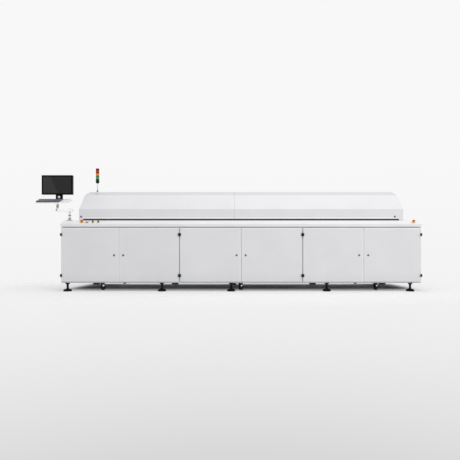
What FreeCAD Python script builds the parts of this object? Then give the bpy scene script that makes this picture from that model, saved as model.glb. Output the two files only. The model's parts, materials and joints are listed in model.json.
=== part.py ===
"""In-line conveyor reflow oven, in millimetres.

+X runs along the machine to the right, +Y to the back, +Z up.
The origin is on the floor, under the middle of the cabinet.
"""
import FreeCAD
import Part
import math
import os

V = FreeCAD.Vector

# Cabinet
LENGTH = 5310.0
DEPTH = 1353.0
BOARD_HEIGHT = 900.0
FRAME_BOTTOM = 124.0
FRAME_ABOVE_BOARD = 53.0
TUBE = 50.0
TUBE_WALL = 3.0
SEAM_POST = 40.0
SHEET = 2.0
PANEL_DEPTH = 24.0

# Front doors
DOOR_BOTTOM_MARGIN = 18.0
DOOR_TOP_MARGIN = 21.0
DOOR_REVEAL = 2.0
DOOR_EDGE_ROUND = 5.0
HINGE_LINE = 905.0
OUTER_SEAM = 1800.0
SEAM_GAP = 5.0
HINGE_GAP = 12.0
HINGE_FROM_BOTTOM = 92.0
HINGE_FROM_TOP = 97.0
HINGE_HEAD_HEIGHT = 42.0
HINGE_HEAD_RADIUS = 7.5
HINGE_HEAD_ROUND = 12.0
HINGE_PIVOT_OFFSET = 15.0
HINGE_STANDOFF = 1.0
HINGE_NECK = 8.0
HINGE_SLOT = 14.0
HINGE_PIN_RADIUS = 3.0
LUG_WALL = 3.4
LUG_WEB = 8.0

# Locks
LOCK_FROM_BOTTOM = 390.0
LOCK_FROM_SEAM = 67.0
LOCK_RADIUS = 10.0
LOCK_HEAD_RADIUS = 15.0
LOCK_HEAD = 4.0
CAM_LENGTH = 42.0
CAM_WIDTH = 16.0
CAM_THICKNESS = 4.0
CAM_CLEARANCE = 2.0
KEEPER_REACH = 25.0
KEEPER_HEIGHT = 100.0
KEEPER_THICKNESS = 3.0
KEY_SLOT = 2.5

# Clearances
RUNNING = 0.05
SIDE_PLAY = 0.3

# Deck
DECK_SHEET = 2.5
LIP_HEIGHT = 39.0
LEDGE_DEPTH = 110.0
LEDGE_RISE = 58.0
DECK_FLANGE = 30.0
DECK_SEAM = 1.0

# Process tunnel
CHAMBER_HALF_WIDTH = 330.0
CHAMBER_DEPTH = 260.0
CHAMBER_SHEET = 3.0
CHAMBER_TOP_GAP = 10.0
LOWER_NOZZLE_DROP = 50.0
UPPER_NOZZLE_LIFT = 65.0
UPPER_HALF_WIDTH = 280.0
UPPER_CHAMBER_HEIGHT = 335.0
ZONES = 10
NOZZLE_GAP = 6.0
NOZZLE_SLOTS = 5
NOZZLE_SLOT_WIDTH = 14.0
NOZZLE_SLOT_LENGTH = 340.0
TUNNEL_HALF_WIDTH = 300.0
TUNNEL_CLEARANCE = 4.0
BLOWER_RADIUS = 65.0
BLOWER_FLANGE_RADIUS = 75.0
BLOWER_FLANGE = 8.0
BLOWER_HEIGHT = 130.0
BLOWER_CAP = 18.0

# Conveyor rails
RAIL_WEB = 10.0
RAIL_FLANGE = 36.0
RAIL_LEDGE = 22.0
RAIL_TOP_FLANGE = 16.0
RAIL_PLATE = 8.0
RAIL_BELOW_BOARD = 38.0
RAIL_ABOVE_BOARD = 32.0
FRONT_RAIL_Y = -230.0
REAR_RAIL_Y = 210.0
RAIL_END_GAP = 10.0
CHAIN_WIDTH = 9.0
CHAIN_HEIGHT = 8.0
ROD_RADIUS = 10.0
ROD_DROP = 22.0
ROD_FROM_END = 128.0
ROD_INNER_X = 770.0

# Hood
HOOD_END_SETBACK = 224.0
HOOD_SETBACK = 130.0
HOOD_SHEET = 3.0
HOOD_REST_GAP = 3.0
HOOD_GAP = 34.0
HOOD_CORNER = 65.0
HOOD_BAND_TOP = 172.0
HOOD_SLOPE_DEPTH = 250.0
HOOD_SLOPE_RISE = 241.0
HOOD_RIDGE_HALF = 60.5
HOOD_ROOF_RISE = 80.0
HOOD_SPLIT = -100.0
HOOD_SPLIT_GAP = 2.0
HOOD_LOCK_FROM_ENDS = (31.0, 126.0)
HOOD_LOCK_RISE = 55.0
HOOD_HINGE_FROM_END = 531.0
HOOD_HINGE_INNER_X = 600.0
HOOD_HINGE_BACK = 34.0
HOOD_HINGE_RISE = 42.0
KNUCKLE_RADIUS = 16.0
KNUCKLE_LENGTH = 60.0
EAR_THICKNESS = 12.0
HOOD_PIN_RADIUS = 7.0
HINGE_PLATE = 8.0
LEAF_HEIGHT = 90.0
LEAF_THICKNESS = 6.0

# Rear panels
LOUVRE_ROWS = 6
LOUVRE_PITCH = 42.0
LOUVRE_LENGTH = 320.0
LOUVRE_COLUMNS = 2
LOUVRE_WIDTH = 10.0
LOUVRE_TOP_MARGIN = 150.0

# Electrical back plate
PLATE_BOTTOM = 200.0
PLATE_HEIGHT = 360.0
PLATE_THICKNESS = 3.0
DEVICE_DEPTH = 75.0
DEVICE_ROWS = 2
DEVICE_COUNT = 9
DEVICE_WIDTH = 110.0
DEVICE_HEIGHT = 95.0
DEVICE_STEP = 24.0

# Feet and casters
FOOT_FROM_ENDS = (87.0, 154.0)
FOOT_INNER_X = (-1171.0, -147.0, 1267.0)
FOOT_PAD_RADIUS = 60.0
FOOT_PAD_HEIGHT = 18.0
FOOT_PAD_CHAMFER = 8.0
FOOT_DOME = 42.0
FOOT_STEM_RADIUS = 16.0
FOOT_NUT_RADIUS = 34.0
FOOT_NUT = 8.0
FOOT_NUT_CONE = 18.0
CASTER_FROM_ENDS = (574.0, 667.0)
CASTER_INNER_X = -24.0
CASTER_INSET = 86.5
CASTER_PLATE = 6.0
CASTER_PLATE_SIDE = 92.0
CASTER_TRAIL = 26.0
CASTER_TURN = 35.0
WHEEL_RADIUS = 38.0
WHEEL_WIDTH = 30.0
WHEEL_LIFT = 12.0
WHEEL_ROUND = 6.0
WHEEL_RECESS = 5.0
FORK_THICKNESS = 4.0
FORK_WIDTH = 40.0
FORK_ROUND = 8.0
AXLE_RADIUS = 6.0
KINGPIN_RADIUS = 9.0
KINGPIN_HEAD_RADIUS = 14.0
KINGPIN_HEAD = 4.0

# Ledge controls, each at its distance from the end of the cabinet
ESTOP_FROM_ENDS = (300.0, 105.0)
BUTTON_FROM_END = 374.0
SELECTORS_FROM_END = (463.0, 543.0)
CONTROL_SHARE = 0.42
ESTOP_DISC_RADIUS = 31.0
ESTOP_DISC = 6.0
ESTOP_HEAD_RADIUS = 22.0
ESTOP_HEAD = 16.0
ESTOP_SKIRT = 5.0
ESTOP_SHOULDER = 4.5
ESTOP_CROWN_RADIUS = 9.0
ESTOP_TRAVEL = 6.0
COLLAR_RADIUS = 15.0
COLLAR_HEIGHT = 12.0
SHAFT_RADIUS = 7.0
LEGEND_WIDTH = 38.0
LEGEND_LENGTH = 54.0
LEGEND_THICKNESS = 1.5
KNOB_RADIUS = 13.0
KNOB_HEIGHT = 8.0
KNOB_GRIP_WIDTH = 7.0
KNOB_GRIP_HEIGHT = 16.0
KNOB_GRIP_ROUND = 2.8
BUTTON_RADIUS = 12.0
BUTTON_HEIGHT = 9.0
BUTTON_CHAMFER = 2.5
BUTTON_TRAVEL = 4.0

# Tower light
TOWER_FROM_END = 154.0
TOWER_FROM_SLOPE = 120.0
TOWER_RADIUS = 27.0
TOWER_POLE_RADIUS = 9.0
TOWER_POLE_RISE = 160.0
TOWER_FOOT_RADIUS = 30.0
TOWER_FOOT = 12.0
TOWER_BASE = 60.0
TOWER_BASE_ROUND = 14.0
LENS_HEIGHT = 50.0
LENS_RING = 3.0
LENS_INSET = 1.5
TOWER_CAP = 20.0
TOWER_CAP_CHAMFER = 8.0

# Operator station
POST_FROM_END = 77.0
POST_FROM_FRONT = 150.0
POST_RADIUS = 16.0
POST_RISE = 136.0
POST_FOOT_SIDE = 76.0
POST_FOOT = 8.0
POST_COLLAR_RADIUS = 20.0
POST_COLLAR = 10.0
POST_COLLAR_RISES = (24.0, 74.0)
POST_PIN_RADIUS = 12.0
ARM_LENGTH = 184.0
ARM_HALF_WIDTH = 26.0
ARM_TAIL = 25.0
ARM_HEIGHT = 45.0
RISER_PIN_RADIUS = 10.0
RISER_PIN = 60.0
RISER_RADIUS = 16.0
TRAY_TILT = 22.0
TRAY_LEFT = 280.0
TRAY_RIGHT = 208.0
TRAY_FRONT = 128.0
TRAY_BACK = 62.0
TRAY_SHEET = 3.0
TRAY_RIM = 14.0
TRAY_ROUND = 40.0
TRAY_RISE = 128.0
TRAY_WEB = 24.0
KEYBOARD_WIDTH = 345.0
KEYBOARD_DEPTH = 140.0
KEYBOARD_HEIGHT = 14.0
KEYBOARD_MARGIN = 6.0
NECK_WIDTH = 100.0
NECK_THICKNESS = 24.0
NECK_SHIFT = 8.0
NECK_BACK = 48.0
MONITOR_WIDTH = 463.0
MONITOR_HEIGHT = 291.0
MONITOR_THICKNESS = 40.0
MONITOR_ROUND = 4.0
MONITOR_RISE = 82.0
BEZEL = 21.0
SCREEN_RECESS = 2.0
SCREEN_THICKNESS = 3.0
TILT_PIN_RADIUS = 6.0
TILT_EAR = 14.0
TILT_GAP = 10.0
TILT_EAR_RADIUS = 15.0

# Places that follow from the sizes above
FRONT = -DEPTH / 2
END = LENGTH / 2
FRAME_TOP = BOARD_HEIGHT + FRAME_ABOVE_BOARD
DOOR_BOTTOM = FRAME_BOTTOM + DOOR_BOTTOM_MARGIN
DOOR_TOP = FRAME_TOP - DOOR_TOP_MARGIN
HINGE_HEIGHTS = (DOOR_BOTTOM + HINGE_FROM_BOTTOM, DOOR_TOP - HINGE_FROM_TOP)
LOCK_HEIGHT = DOOR_BOTTOM + LOCK_FROM_BOTTOM
CHAMBER_BOTTOM = BOARD_HEIGHT - CHAMBER_DEPTH
FRAME_FRONT = FRONT + PANEL_DEPTH + DOOR_REVEAL
FRAME_END = END - PANEL_DEPTH
LIP_TOP = FRAME_TOP + LIP_HEIGHT
DECK_TOP = LIP_TOP + LEDGE_RISE
LEDGE_ANGLE = math.degrees(math.atan2(LEDGE_RISE, LEDGE_DEPTH))
HINGE_PIVOT_Y = FRONT - HINGE_STANDOFF - HINGE_HEAD_RADIUS
END_HINGE_LINE = END - HINGE_NECK / 2
CAM_FRONT = FRAME_FRONT + KEEPER_THICKNESS + CAM_CLEARANCE
HOOD_END = END - HOOD_END_SETBACK
HOOD_FRONT = FRONT + HOOD_SETBACK
HOOD_ROOF_DEPTH = -HOOD_FRONT - HOOD_SLOPE_DEPTH - HOOD_RIDGE_HALF
HOOD_LOCK_X = (-HOOD_END + HOOD_LOCK_FROM_ENDS[0], HOOD_END - HOOD_LOCK_FROM_ENDS[1])
HOOD_HINGE_OUTER_X = HOOD_END - HOOD_HINGE_FROM_END
HOOD_HINGE_X = (-HOOD_HINGE_OUTER_X, -HOOD_HINGE_INNER_X, HOOD_HINGE_INNER_X, HOOD_HINGE_OUTER_X)
HOOD_BASE = DECK_TOP + HOOD_REST_GAP
HOOD_INNER_END = HOOD_END - HOOD_SHEET
ROD_OUTER_X = HOOD_INNER_END - ROD_FROM_END
ROD_STATIONS = (-ROD_OUTER_X, -ROD_INNER_X, ROD_INNER_X, ROD_OUTER_X)
FOOT_X = (-END + FOOT_FROM_ENDS[0],) + FOOT_INNER_X + (END - FOOT_FROM_ENDS[1],)
CASTER_X = (-END + CASTER_FROM_ENDS[0], CASTER_INNER_X, END - CASTER_FROM_ENDS[1])
ESTOP_X = (-END + ESTOP_FROM_ENDS[0], END - ESTOP_FROM_ENDS[1])
BUTTON_X = -END + BUTTON_FROM_END
SELECTOR_X = (-END + SELECTORS_FROM_END[0], -END + SELECTORS_FROM_END[1])
TOWER_X = -HOOD_END + TOWER_FROM_END
TOWER_Y = HOOD_FRONT + HOOD_SLOPE_DEPTH + TOWER_FROM_SLOPE
POST_X = -END + POST_FROM_END
POST_Y = FRONT + POST_FROM_FRONT
HINGE_AXIS_Y = -HOOD_FRONT + HOOD_HINGE_BACK
HINGE_AXIS_Z = DECK_TOP + HOOD_HINGE_RISE
LOWER_NOZZLE = BOARD_HEIGHT - LOWER_NOZZLE_DROP
UPPER_NOZZLE = BOARD_HEIGHT + UPPER_NOZZLE_LIFT
RAIL_BOTTOM = BOARD_HEIGHT - RAIL_BELOW_BOARD
ZONE_LENGTH = 2 * HOOD_INNER_END / ZONES
ARM_BOTTOM = DECK_TOP + POST_RISE
ARM_TOP = ARM_BOTTOM + ARM_HEIGHT
RISER_X = POST_X - ARM_LENGTH
TRAY_PIVOT_Z = ARM_TOP + TRAY_RISE
MONITOR_BOTTOM = TRAY_PIVOT_Z + MONITOR_RISE
CASTER_Y = FRONT + CASTER_INSET
WHEEL_Z = WHEEL_LIFT + WHEEL_RADIUS


def box(x0, x1, y0, y1, z0, z1):
    """A block between two corners."""
    return Part.makeBox(x1 - x0, y1 - y0, z1 - z0, V(x0, y0, z0))


def rod(radius, start, end):
    """A round bar from one point to another."""
    run = V(*end) - V(*start)
    return Part.makeCylinder(radius, run.Length, V(*start), run)


def prism_yz(points, x0, x1):
    """A closed outline of (y, z) points swept along X."""
    wire = Part.makePolygon([V(x0, y, z) for y, z in points + points[:1]])
    return Part.Face(wire).extrude(V(x1 - x0, 0, 0))


def left_of(points, distance):
    """An open line moved to its left by a distance, with mitred corners."""
    moved = []
    for i in range(len(points)):
        normals = []
        for a, b in ((i - 1, i), (i, i + 1)):
            if a < 0 or b >= len(points):
                continue
            dy, dz = points[b][0] - points[a][0], points[b][1] - points[a][1]
            run = math.hypot(dy, dz)
            normals.append((-dz / run, dy / run))
        ny = sum(n[0] for n in normals)
        nz = sum(n[1] for n in normals)
        reach = distance * len(normals) / (ny * ny + nz * nz)
        moved.append((points[i][0] + ny * reach, points[i][1] + nz * reach))
    return moved


def folded_sheet(points, thickness, x0, x1):
    """A sheet folded along an open (y, z) line, with its thickness to the right of the line."""
    return prism_yz(points + left_of(points, -thickness)[::-1], x0, x1)


def turned(points, base=(0, 0, 0), axis=(0, 0, 1)):
    """A solid of revolution from (radius, height) points, stood on a base along an axis."""
    wire = Part.makePolygon([V(r, 0, h) for r, h in points + points[:1]])
    solid = Part.Face(wire).revolve(V(0, 0, 0), V(0, 0, 1), 360)
    solid.Placement = FreeCAD.Placement(V(*base), FreeCAD.Rotation(V(0, 0, 1), V(*axis)))
    return solid


def stadium(x0, x1, y, radius, z0, z1):
    """An upright block with round ends, between two centres along X."""
    if x1 - x0 < radius / 100:
        return rod(radius, (x0, y, z0), (x0, y, z1))
    middle = box(x0, x1, y - radius, y + radius, z0, z1)
    ends = [rod(radius, (x, y, z0), (x, y, z1)) for x in (x0, x1)]
    return middle.fuse(ends).removeSplitter()


def upright_round(solid, radius, at_x=None):
    """Rounds the upright edges, all of them or those at one X."""
    edges = []
    for edge in solid.Edges:
        a, b = edge.Vertexes[0].Point, edge.Vertexes[-1].Point
        upright = abs(a.x - b.x) + abs(a.y - b.y) < SIDE_PLAY
        if upright and (at_x is None or abs(a.x - at_x) < SIDE_PLAY):
            edges.append(edge)
    return solid.makeFillet(radius, edges)


def mirrored_y(solid):
    """The same piece on the back of the machine."""
    return solid.mirror(V(0, 0, 0), V(0, 1, 0))


def save(name, *solids):
    """Writes a node: one solid, or a group of solids that belong together."""
    shape = solids[0] if len(solids) == 1 else Part.makeCompound(list(solids))
    shape.exportStep(f"parts/{name}.step")


# Base frame: square tubes welded at posts, rails and cross bars
def tube_along(axis, start, size, length):
    """A hollow square tube from its low corner, along an axis given as 0, 1 or 2."""
    sides = [size, size, size]
    sides[axis] = length
    bore = [side - 2 * TUBE_WALL for side in sides]
    bore[axis] = length
    inset = [TUBE_WALL, TUBE_WALL, TUBE_WALL]
    inset[axis] = 0.0
    outer = Part.makeBox(*sides, V(*start))
    return outer.cut(Part.makeBox(*bore, V(*start) + V(*inset)))


def post_lines():
    """The X place and width of each line of posts."""
    main = [(sign * place, TUBE) for sign in (-1, 1) for place in (FRAME_END - TUBE / 2, HINGE_LINE)]
    return main + [(place, SEAM_POST) for place in (-OUTER_SEAM, 0.0, OUTER_SEAM)]


def make_base_frame():
    pieces = []
    inner = FRAME_FRONT + TUBE
    for y in (FRAME_FRONT, -inner):
        for z in (FRAME_BOTTOM, FRAME_TOP - TUBE):
            pieces.append(tube_along(0, (-FRAME_END, y, z), TUBE, 2 * FRAME_END))
    low = FRAME_BOTTOM + TUBE
    for x, width in post_lines():
        for y in (FRAME_FRONT, -FRAME_FRONT - width):
            pieces.append(tube_along(2, (x - width / 2, y, low), width, FRAME_TOP - TUBE - low))
        beam_y = FRAME_FRONT + width
        if width == TUBE:
            pieces.append(tube_along(1, (x - width / 2, inner, FRAME_BOTTOM), TUBE, -2 * inner))
        if abs(x) < HOOD_INNER_END:
            start = (x - width / 2, beam_y, CHAMBER_BOTTOM - width)
            pieces.append(tube_along(1, start, width, -2 * beam_y))
    for seam in (-OUTER_SEAM, 0.0, OUTER_SEAM):
        for side in (-1, 1):
            near = seam + side * SEAM_POST / 2
            x0, x1 = sorted((near, near + side * KEEPER_REACH))
            z0 = LOCK_HEIGHT - KEEPER_HEIGHT / 2
            pieces.append(box(x0, x1, FRAME_FRONT, FRAME_FRONT + KEEPER_THICKNESS, z0, z0 + KEEPER_HEIGHT))
    save("base_frame", *pieces)


# Front doors with their hinge blocks and locks
def door_list():
    """Each door's hinge line, seam and the side that its hinge is on."""
    doors = []
    for outer, seam, inner in (
        (-END_HINGE_LINE, -OUTER_SEAM, -HINGE_LINE),
        (-HINGE_LINE, 0.0, HINGE_LINE),
        (HINGE_LINE, OUTER_SEAM, END_HINGE_LINE),
    ):
        doors += [(outer, seam, 1), (inner, seam, -1)]
    return doors


def make_door(hinge, seam, side):
    """A folded tray, with lugs round the hinge pins. side is +1 where the door runs to +X from its hinge."""
    edge = hinge + side * (HINGE_GAP / 2 if abs(hinge) < END_HINGE_LINE else HINGE_NECK / 2 + HINGE_GAP / 4)
    x0, x1 = sorted((edge, seam - side * SEAM_GAP / 2))
    back = FRONT + PANEL_DEPTH
    door = box(x0, x1, FRONT, back, DOOR_BOTTOM, DOOR_TOP)
    door = door.makeFillet(DOOR_EDGE_ROUND, [e for e in door.Edges if e.BoundBox.YMax < FRONT + SIDE_PLAY])
    door = door.cut(box(x0 + SHEET, x1 - SHEET, FRONT + SHEET, back, DOOR_BOTTOM + SHEET, DOOR_TOP - SHEET))
    lock_x = seam - side * LOCK_FROM_SEAM
    door = door.cut(rod(LOCK_RADIUS + RUNNING, (lock_x, FRONT, LOCK_HEIGHT), (lock_x, back, LOCK_HEIGHT)))
    pivot = hinge + side * HINGE_PIVOT_OFFSET
    reach = HINGE_SLOT / 2 - SIDE_PLAY
    bore = HINGE_PIN_RADIUS + RUNNING
    for z in HINGE_HEIGHTS:
        lug = rod(bore + LUG_WALL, (pivot, HINGE_PIVOT_Y, z - reach), (pivot, HINGE_PIVOT_Y, z + reach))
        web = box(pivot - LUG_WEB / 2, pivot + LUG_WEB / 2, HINGE_PIVOT_Y, FRONT + SHEET, z - reach, z + reach)
        hole = rod(bore, (pivot, HINGE_PIVOT_Y, z - reach), (pivot, HINGE_PIVOT_Y, z + reach))
        door = door.fuse(lug.fuse(web).cut(hole))
    return door.removeSplitter()


def make_hinge_block(line, sides, z):
    """A black block in front of a door seam, on a neck to the frame, with a pin for each door beside it."""
    pivots = [line + side * HINGE_PIVOT_OFFSET for side in sides]
    half = HINGE_HEAD_HEIGHT / 2
    first, last = min(pivots + [line]), max(pivots + [line])
    head = stadium(first, last, HINGE_PIVOT_Y, HINGE_HEAD_RADIUS, z - half, z + half)
    x0, x1 = line - HINGE_NECK / 2, line + HINGE_NECK / 2
    if len(sides) == 1:
        beyond = line - sides[0] * HINGE_NECK / 2
        far = beyond - sides[0] * HINGE_HEAD_RADIUS
        y0, y1 = HINGE_PIVOT_Y - HINGE_HEAD_RADIUS, HINGE_PIVOT_Y + HINGE_HEAD_RADIUS
        head = head.cut(box(min(beyond, far), max(beyond, far), y0, y1, z - half, z + half))
    bounds = head.BoundBox
    outline = Part.makeBox(bounds.XLength, bounds.YLength, HINGE_HEAD_HEIGHT, V(bounds.XMin, bounds.YMin, z - half))
    corners = [e for e in outline.Edges if e.BoundBox.YLength > e.BoundBox.XLength + e.BoundBox.ZLength]
    outline = outline.makeFillet(HINGE_HEAD_ROUND, corners)
    head = head.common(outline)
    for side in sides:
        near, far = line + side * HINGE_NECK / 2, line + side * (HINGE_PIVOT_OFFSET + 2 * HINGE_HEAD_RADIUS)
        x_low, x_high = sorted((near, far))
        slot = box(x_low, x_high, bounds.YMin, bounds.YMax, z - HINGE_SLOT / 2, z + HINGE_SLOT / 2)
        head = head.cut(slot)
    neck = box(x0, x1, HINGE_PIVOT_Y, FRAME_FRONT, z - half, z + half)
    block = head.fuse(neck)
    for pivot in pivots:
        low, high = z - HINGE_SLOT / 2, z + HINGE_SLOT / 2
        block = block.fuse(rod(HINGE_PIN_RADIUS, (pivot, HINGE_PIVOT_Y, low), (pivot, HINGE_PIVOT_Y, high)))
    return block.removeSplitter()


def make_cam_lock(x, face, z, cam_front, cam_direction):
    """A round lock on a face that looks to -Y: slotted head, barrel, and a cam behind."""
    head = turned(
        [(0, 0), (LOCK_HEAD_RADIUS, 0), (LOCK_HEAD_RADIUS - LOCK_HEAD / 2, LOCK_HEAD), (0, LOCK_HEAD)],
        (x, face - SIDE_PLAY, z), (0, -1, 0),
    )
    front = face - SIDE_PLAY - LOCK_HEAD
    key = box(x - KEY_SLOT / 2, x + KEY_SLOT / 2, front, front + KEY_SLOT, z - LOCK_RADIUS / 2, z + LOCK_RADIUS / 2)
    barrel = rod(LOCK_RADIUS, (x, face - SIDE_PLAY, z), (x, cam_front + CAM_THICKNESS, z))
    cam = box(x - CAM_WIDTH / 2, x + CAM_WIDTH / 2, cam_front, cam_front + CAM_THICKNESS, z, z + CAM_LENGTH)
    cam.rotate(V(x, 0, z), V(0, 1, 0), cam_direction)
    return head.cut(key).fuse([barrel, cam]).removeSplitter()


def make_doors():
    for number, (hinge, seam, side) in enumerate(door_list(), 1):
        save(f"door_{number}", make_door(hinge, seam, side))
        lock_x = seam - side * LOCK_FROM_SEAM
        save(f"door_lock_{number}", make_cam_lock(lock_x, FRONT, LOCK_HEIGHT, CAM_FRONT, 0))
    lines = ((-END_HINGE_LINE, (1,)), (-HINGE_LINE, (-1, 1)), (HINGE_LINE, (-1, 1)), (END_HINGE_LINE, (-1,)))
    save("door_hinges", *[make_hinge_block(line, sides, z) for line, sides in lines for z in HINGE_HEIGHTS])


# End and rear panels
def make_end_panel(side):
    """A folded end panel, with a notch where the boards go through."""
    x0, x1 = sorted((side * FRAME_END, side * END))
    panel = box(x0, x1, FRAME_FRONT, -FRAME_FRONT, FRAME_BOTTOM, FRAME_TOP)
    inner_x = sorted((side * FRAME_END, side * (END - SHEET)))
    hollow = box(*inner_x, FRAME_FRONT + SHEET, -FRAME_FRONT - SHEET, FRAME_BOTTOM + SHEET, FRAME_TOP - SHEET)
    notch = box(x0, x1, -TUNNEL_HALF_WIDTH, TUNNEL_HALF_WIDTH, RAIL_BOTTOM - TUNNEL_CLEARANCE, FRAME_TOP)
    return panel.cut(hollow).cut(notch)


def make_rear_panel(x0, x1):
    """A folded rear panel with two columns of louvre slots."""
    back = DEPTH / 2
    panel = box(x0, x1, -FRAME_FRONT, back, DOOR_BOTTOM, DOOR_TOP)
    panel = panel.cut(box(
        x0 + SHEET, x1 - SHEET, -FRAME_FRONT, back - SHEET, DOOR_BOTTOM + SHEET, DOOR_TOP - SHEET
    ))
    slots = []
    for column in range(LOUVRE_COLUMNS):
        middle = x0 + (x1 - x0) * (2 * column + 1) / (2 * LOUVRE_COLUMNS)
        for row in range(LOUVRE_ROWS):
            z = DOOR_TOP - LOUVRE_TOP_MARGIN - row * LOUVRE_PITCH
            half = LOUVRE_LENGTH / 2
            slots.append(box(middle - half, middle + half, back - SHEET, back, z, z + LOUVRE_WIDTH))
    return panel.cut(Part.makeCompound(slots))


def make_panels():
    save("end_panels", make_end_panel(-1), make_end_panel(1))
    gap = SEAM_GAP / 2
    spans = ((-END, -HINGE_LINE), (-HINGE_LINE, HINGE_LINE), (HINGE_LINE, END))
    save("rear_panels", *[make_rear_panel(x0 + gap, x1 - gap) for x0, x1 in spans])


# Deck: lip, sloped ledge and flat top in three lengths, front and back
def make_deck():
    line = [
        (FRAME_FRONT + TUBE, FRAME_TOP),
        (FRONT, FRAME_TOP),
        (FRONT, LIP_TOP),
        (FRONT + LEDGE_DEPTH, DECK_TOP),
        (-CHAMBER_HALF_WIDTH, DECK_TOP),
        (-CHAMBER_HALF_WIDTH, DECK_TOP - DECK_FLANGE),
    ]
    gap = DECK_SEAM / 2
    spans = ((-END, -HINGE_LINE - gap), (-HINGE_LINE + gap, HINGE_LINE - gap), (HINGE_LINE + gap, END))
    front = [folded_sheet(line, DECK_SHEET, x0, x1) for x0, x1 in spans]
    # a plate closes each outer end
    outline = line[1:-1] + [(-CHAMBER_HALF_WIDTH, FRAME_TOP)]
    for index, x0, x1 in ((0, -END, -END + DECK_SHEET), (-1, END - DECK_SHEET, END)):
        front[index] = front[index].fuse(prism_yz(outline, x0, x1)).removeSplitter()
    save("deck_panels", *front, *[mirrored_y(piece) for piece in front])


# Heating chambers with slotted nozzle plates, and their blowers
def nozzle_plates(half_width, bottom):
    """One slotted plate for each zone."""
    plates = []
    for zone in range(ZONES):
        x0 = -HOOD_INNER_END + zone * ZONE_LENGTH + NOZZLE_GAP / 2
        x1 = x0 + ZONE_LENGTH - NOZZLE_GAP
        plate = box(x0, x1, -half_width, half_width, bottom, bottom + CHAMBER_SHEET)
        half = NOZZLE_SLOT_LENGTH / 2
        slots = []
        for slot in range(NOZZLE_SLOTS):
            x = x0 + (x1 - x0) * (2 * slot + 1) / (2 * NOZZLE_SLOTS)
            width = NOZZLE_SLOT_WIDTH / 2
            slots.append(box(x - width, x + width, -half, half, bottom, bottom + CHAMBER_SHEET))
        plates.append(plate.cut(Part.makeCompound(slots)))
    return plates


def make_lower_chamber():
    wall_top = DECK_TOP - CHAMBER_TOP_GAP
    inner = CHAMBER_HALF_WIDTH - CHAMBER_SHEET
    floor_top = CHAMBER_BOTTOM + CHAMBER_SHEET
    pieces = [box(
        -HOOD_INNER_END, HOOD_INNER_END, -CHAMBER_HALF_WIDTH, CHAMBER_HALF_WIDTH, CHAMBER_BOTTOM, floor_top
    )]
    front = box(-HOOD_INNER_END, HOOD_INNER_END, -CHAMBER_HALF_WIDTH, -inner, floor_top, wall_top)
    holes = [rod(ROD_RADIUS, (x, -CHAMBER_HALF_WIDTH, rod_z()), (x, -inner, rod_z())) for x in ROD_STATIONS]
    front = front.cut(Part.makeCompound(holes))
    pieces += [front, mirrored_y(front)]
    for side in (-1, 1):
        x0, x1 = sorted((side * (HOOD_INNER_END - CHAMBER_SHEET), side * HOOD_INNER_END))
        pieces.append(box(x0, x1, -inner, inner, floor_top, LOWER_NOZZLE))
    save("lower_chamber", *pieces, *nozzle_plates(inner, LOWER_NOZZLE))


def make_upper_chamber():
    top = UPPER_NOZZLE + UPPER_CHAMBER_HEIGHT
    inner = UPPER_HALF_WIDTH - CHAMBER_SHEET
    under = UPPER_NOZZLE + CHAMBER_SHEET
    pieces = [box(
        -HOOD_INNER_END, HOOD_INNER_END, -UPPER_HALF_WIDTH, UPPER_HALF_WIDTH, top - CHAMBER_SHEET, top
    )]
    wall = box(-HOOD_INNER_END, HOOD_INNER_END, -UPPER_HALF_WIDTH, -inner, UPPER_NOZZLE, top - CHAMBER_SHEET)
    pieces += [wall, mirrored_y(wall)]
    for side in (-1, 1):
        x0, x1 = sorted((side * (HOOD_INNER_END - CHAMBER_SHEET), side * HOOD_INNER_END))
        pieces.append(box(x0, x1, -inner, inner, under, top - CHAMBER_SHEET))
    save("upper_chamber", *pieces, *nozzle_plates(inner, UPPER_NOZZLE))


def make_blowers():
    """Fan motors: a flange on the chamber, a can and a domed end, one for each zone."""
    shape = [
        (0, 0),
        (BLOWER_FLANGE_RADIUS, 0),
        (BLOWER_FLANGE_RADIUS, BLOWER_FLANGE),
        (BLOWER_RADIUS, BLOWER_FLANGE),
        (BLOWER_RADIUS, BLOWER_HEIGHT - BLOWER_CAP),
        (BLOWER_RADIUS - BLOWER_CAP, BLOWER_HEIGHT),
        (0, BLOWER_HEIGHT),
    ]
    places = [-HOOD_INNER_END + (2 * zone + 1) * ZONE_LENGTH / 2 for zone in range(ZONES)]
    top = UPPER_NOZZLE + UPPER_CHAMBER_HEIGHT
    save("lower_blowers", *[turned(shape, (x, 0, CHAMBER_BOTTOM), (0, 0, -1)) for x in places])
    save("upper_blowers", *[turned(shape, (x, 0, top)) for x in places])


# Conveyor: a fixed front rail with guide rods, and a rear rail that slides on the rods
def rod_z():
    """Height of the guide rods."""
    return BOARD_HEIGHT - ROD_DROP


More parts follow.
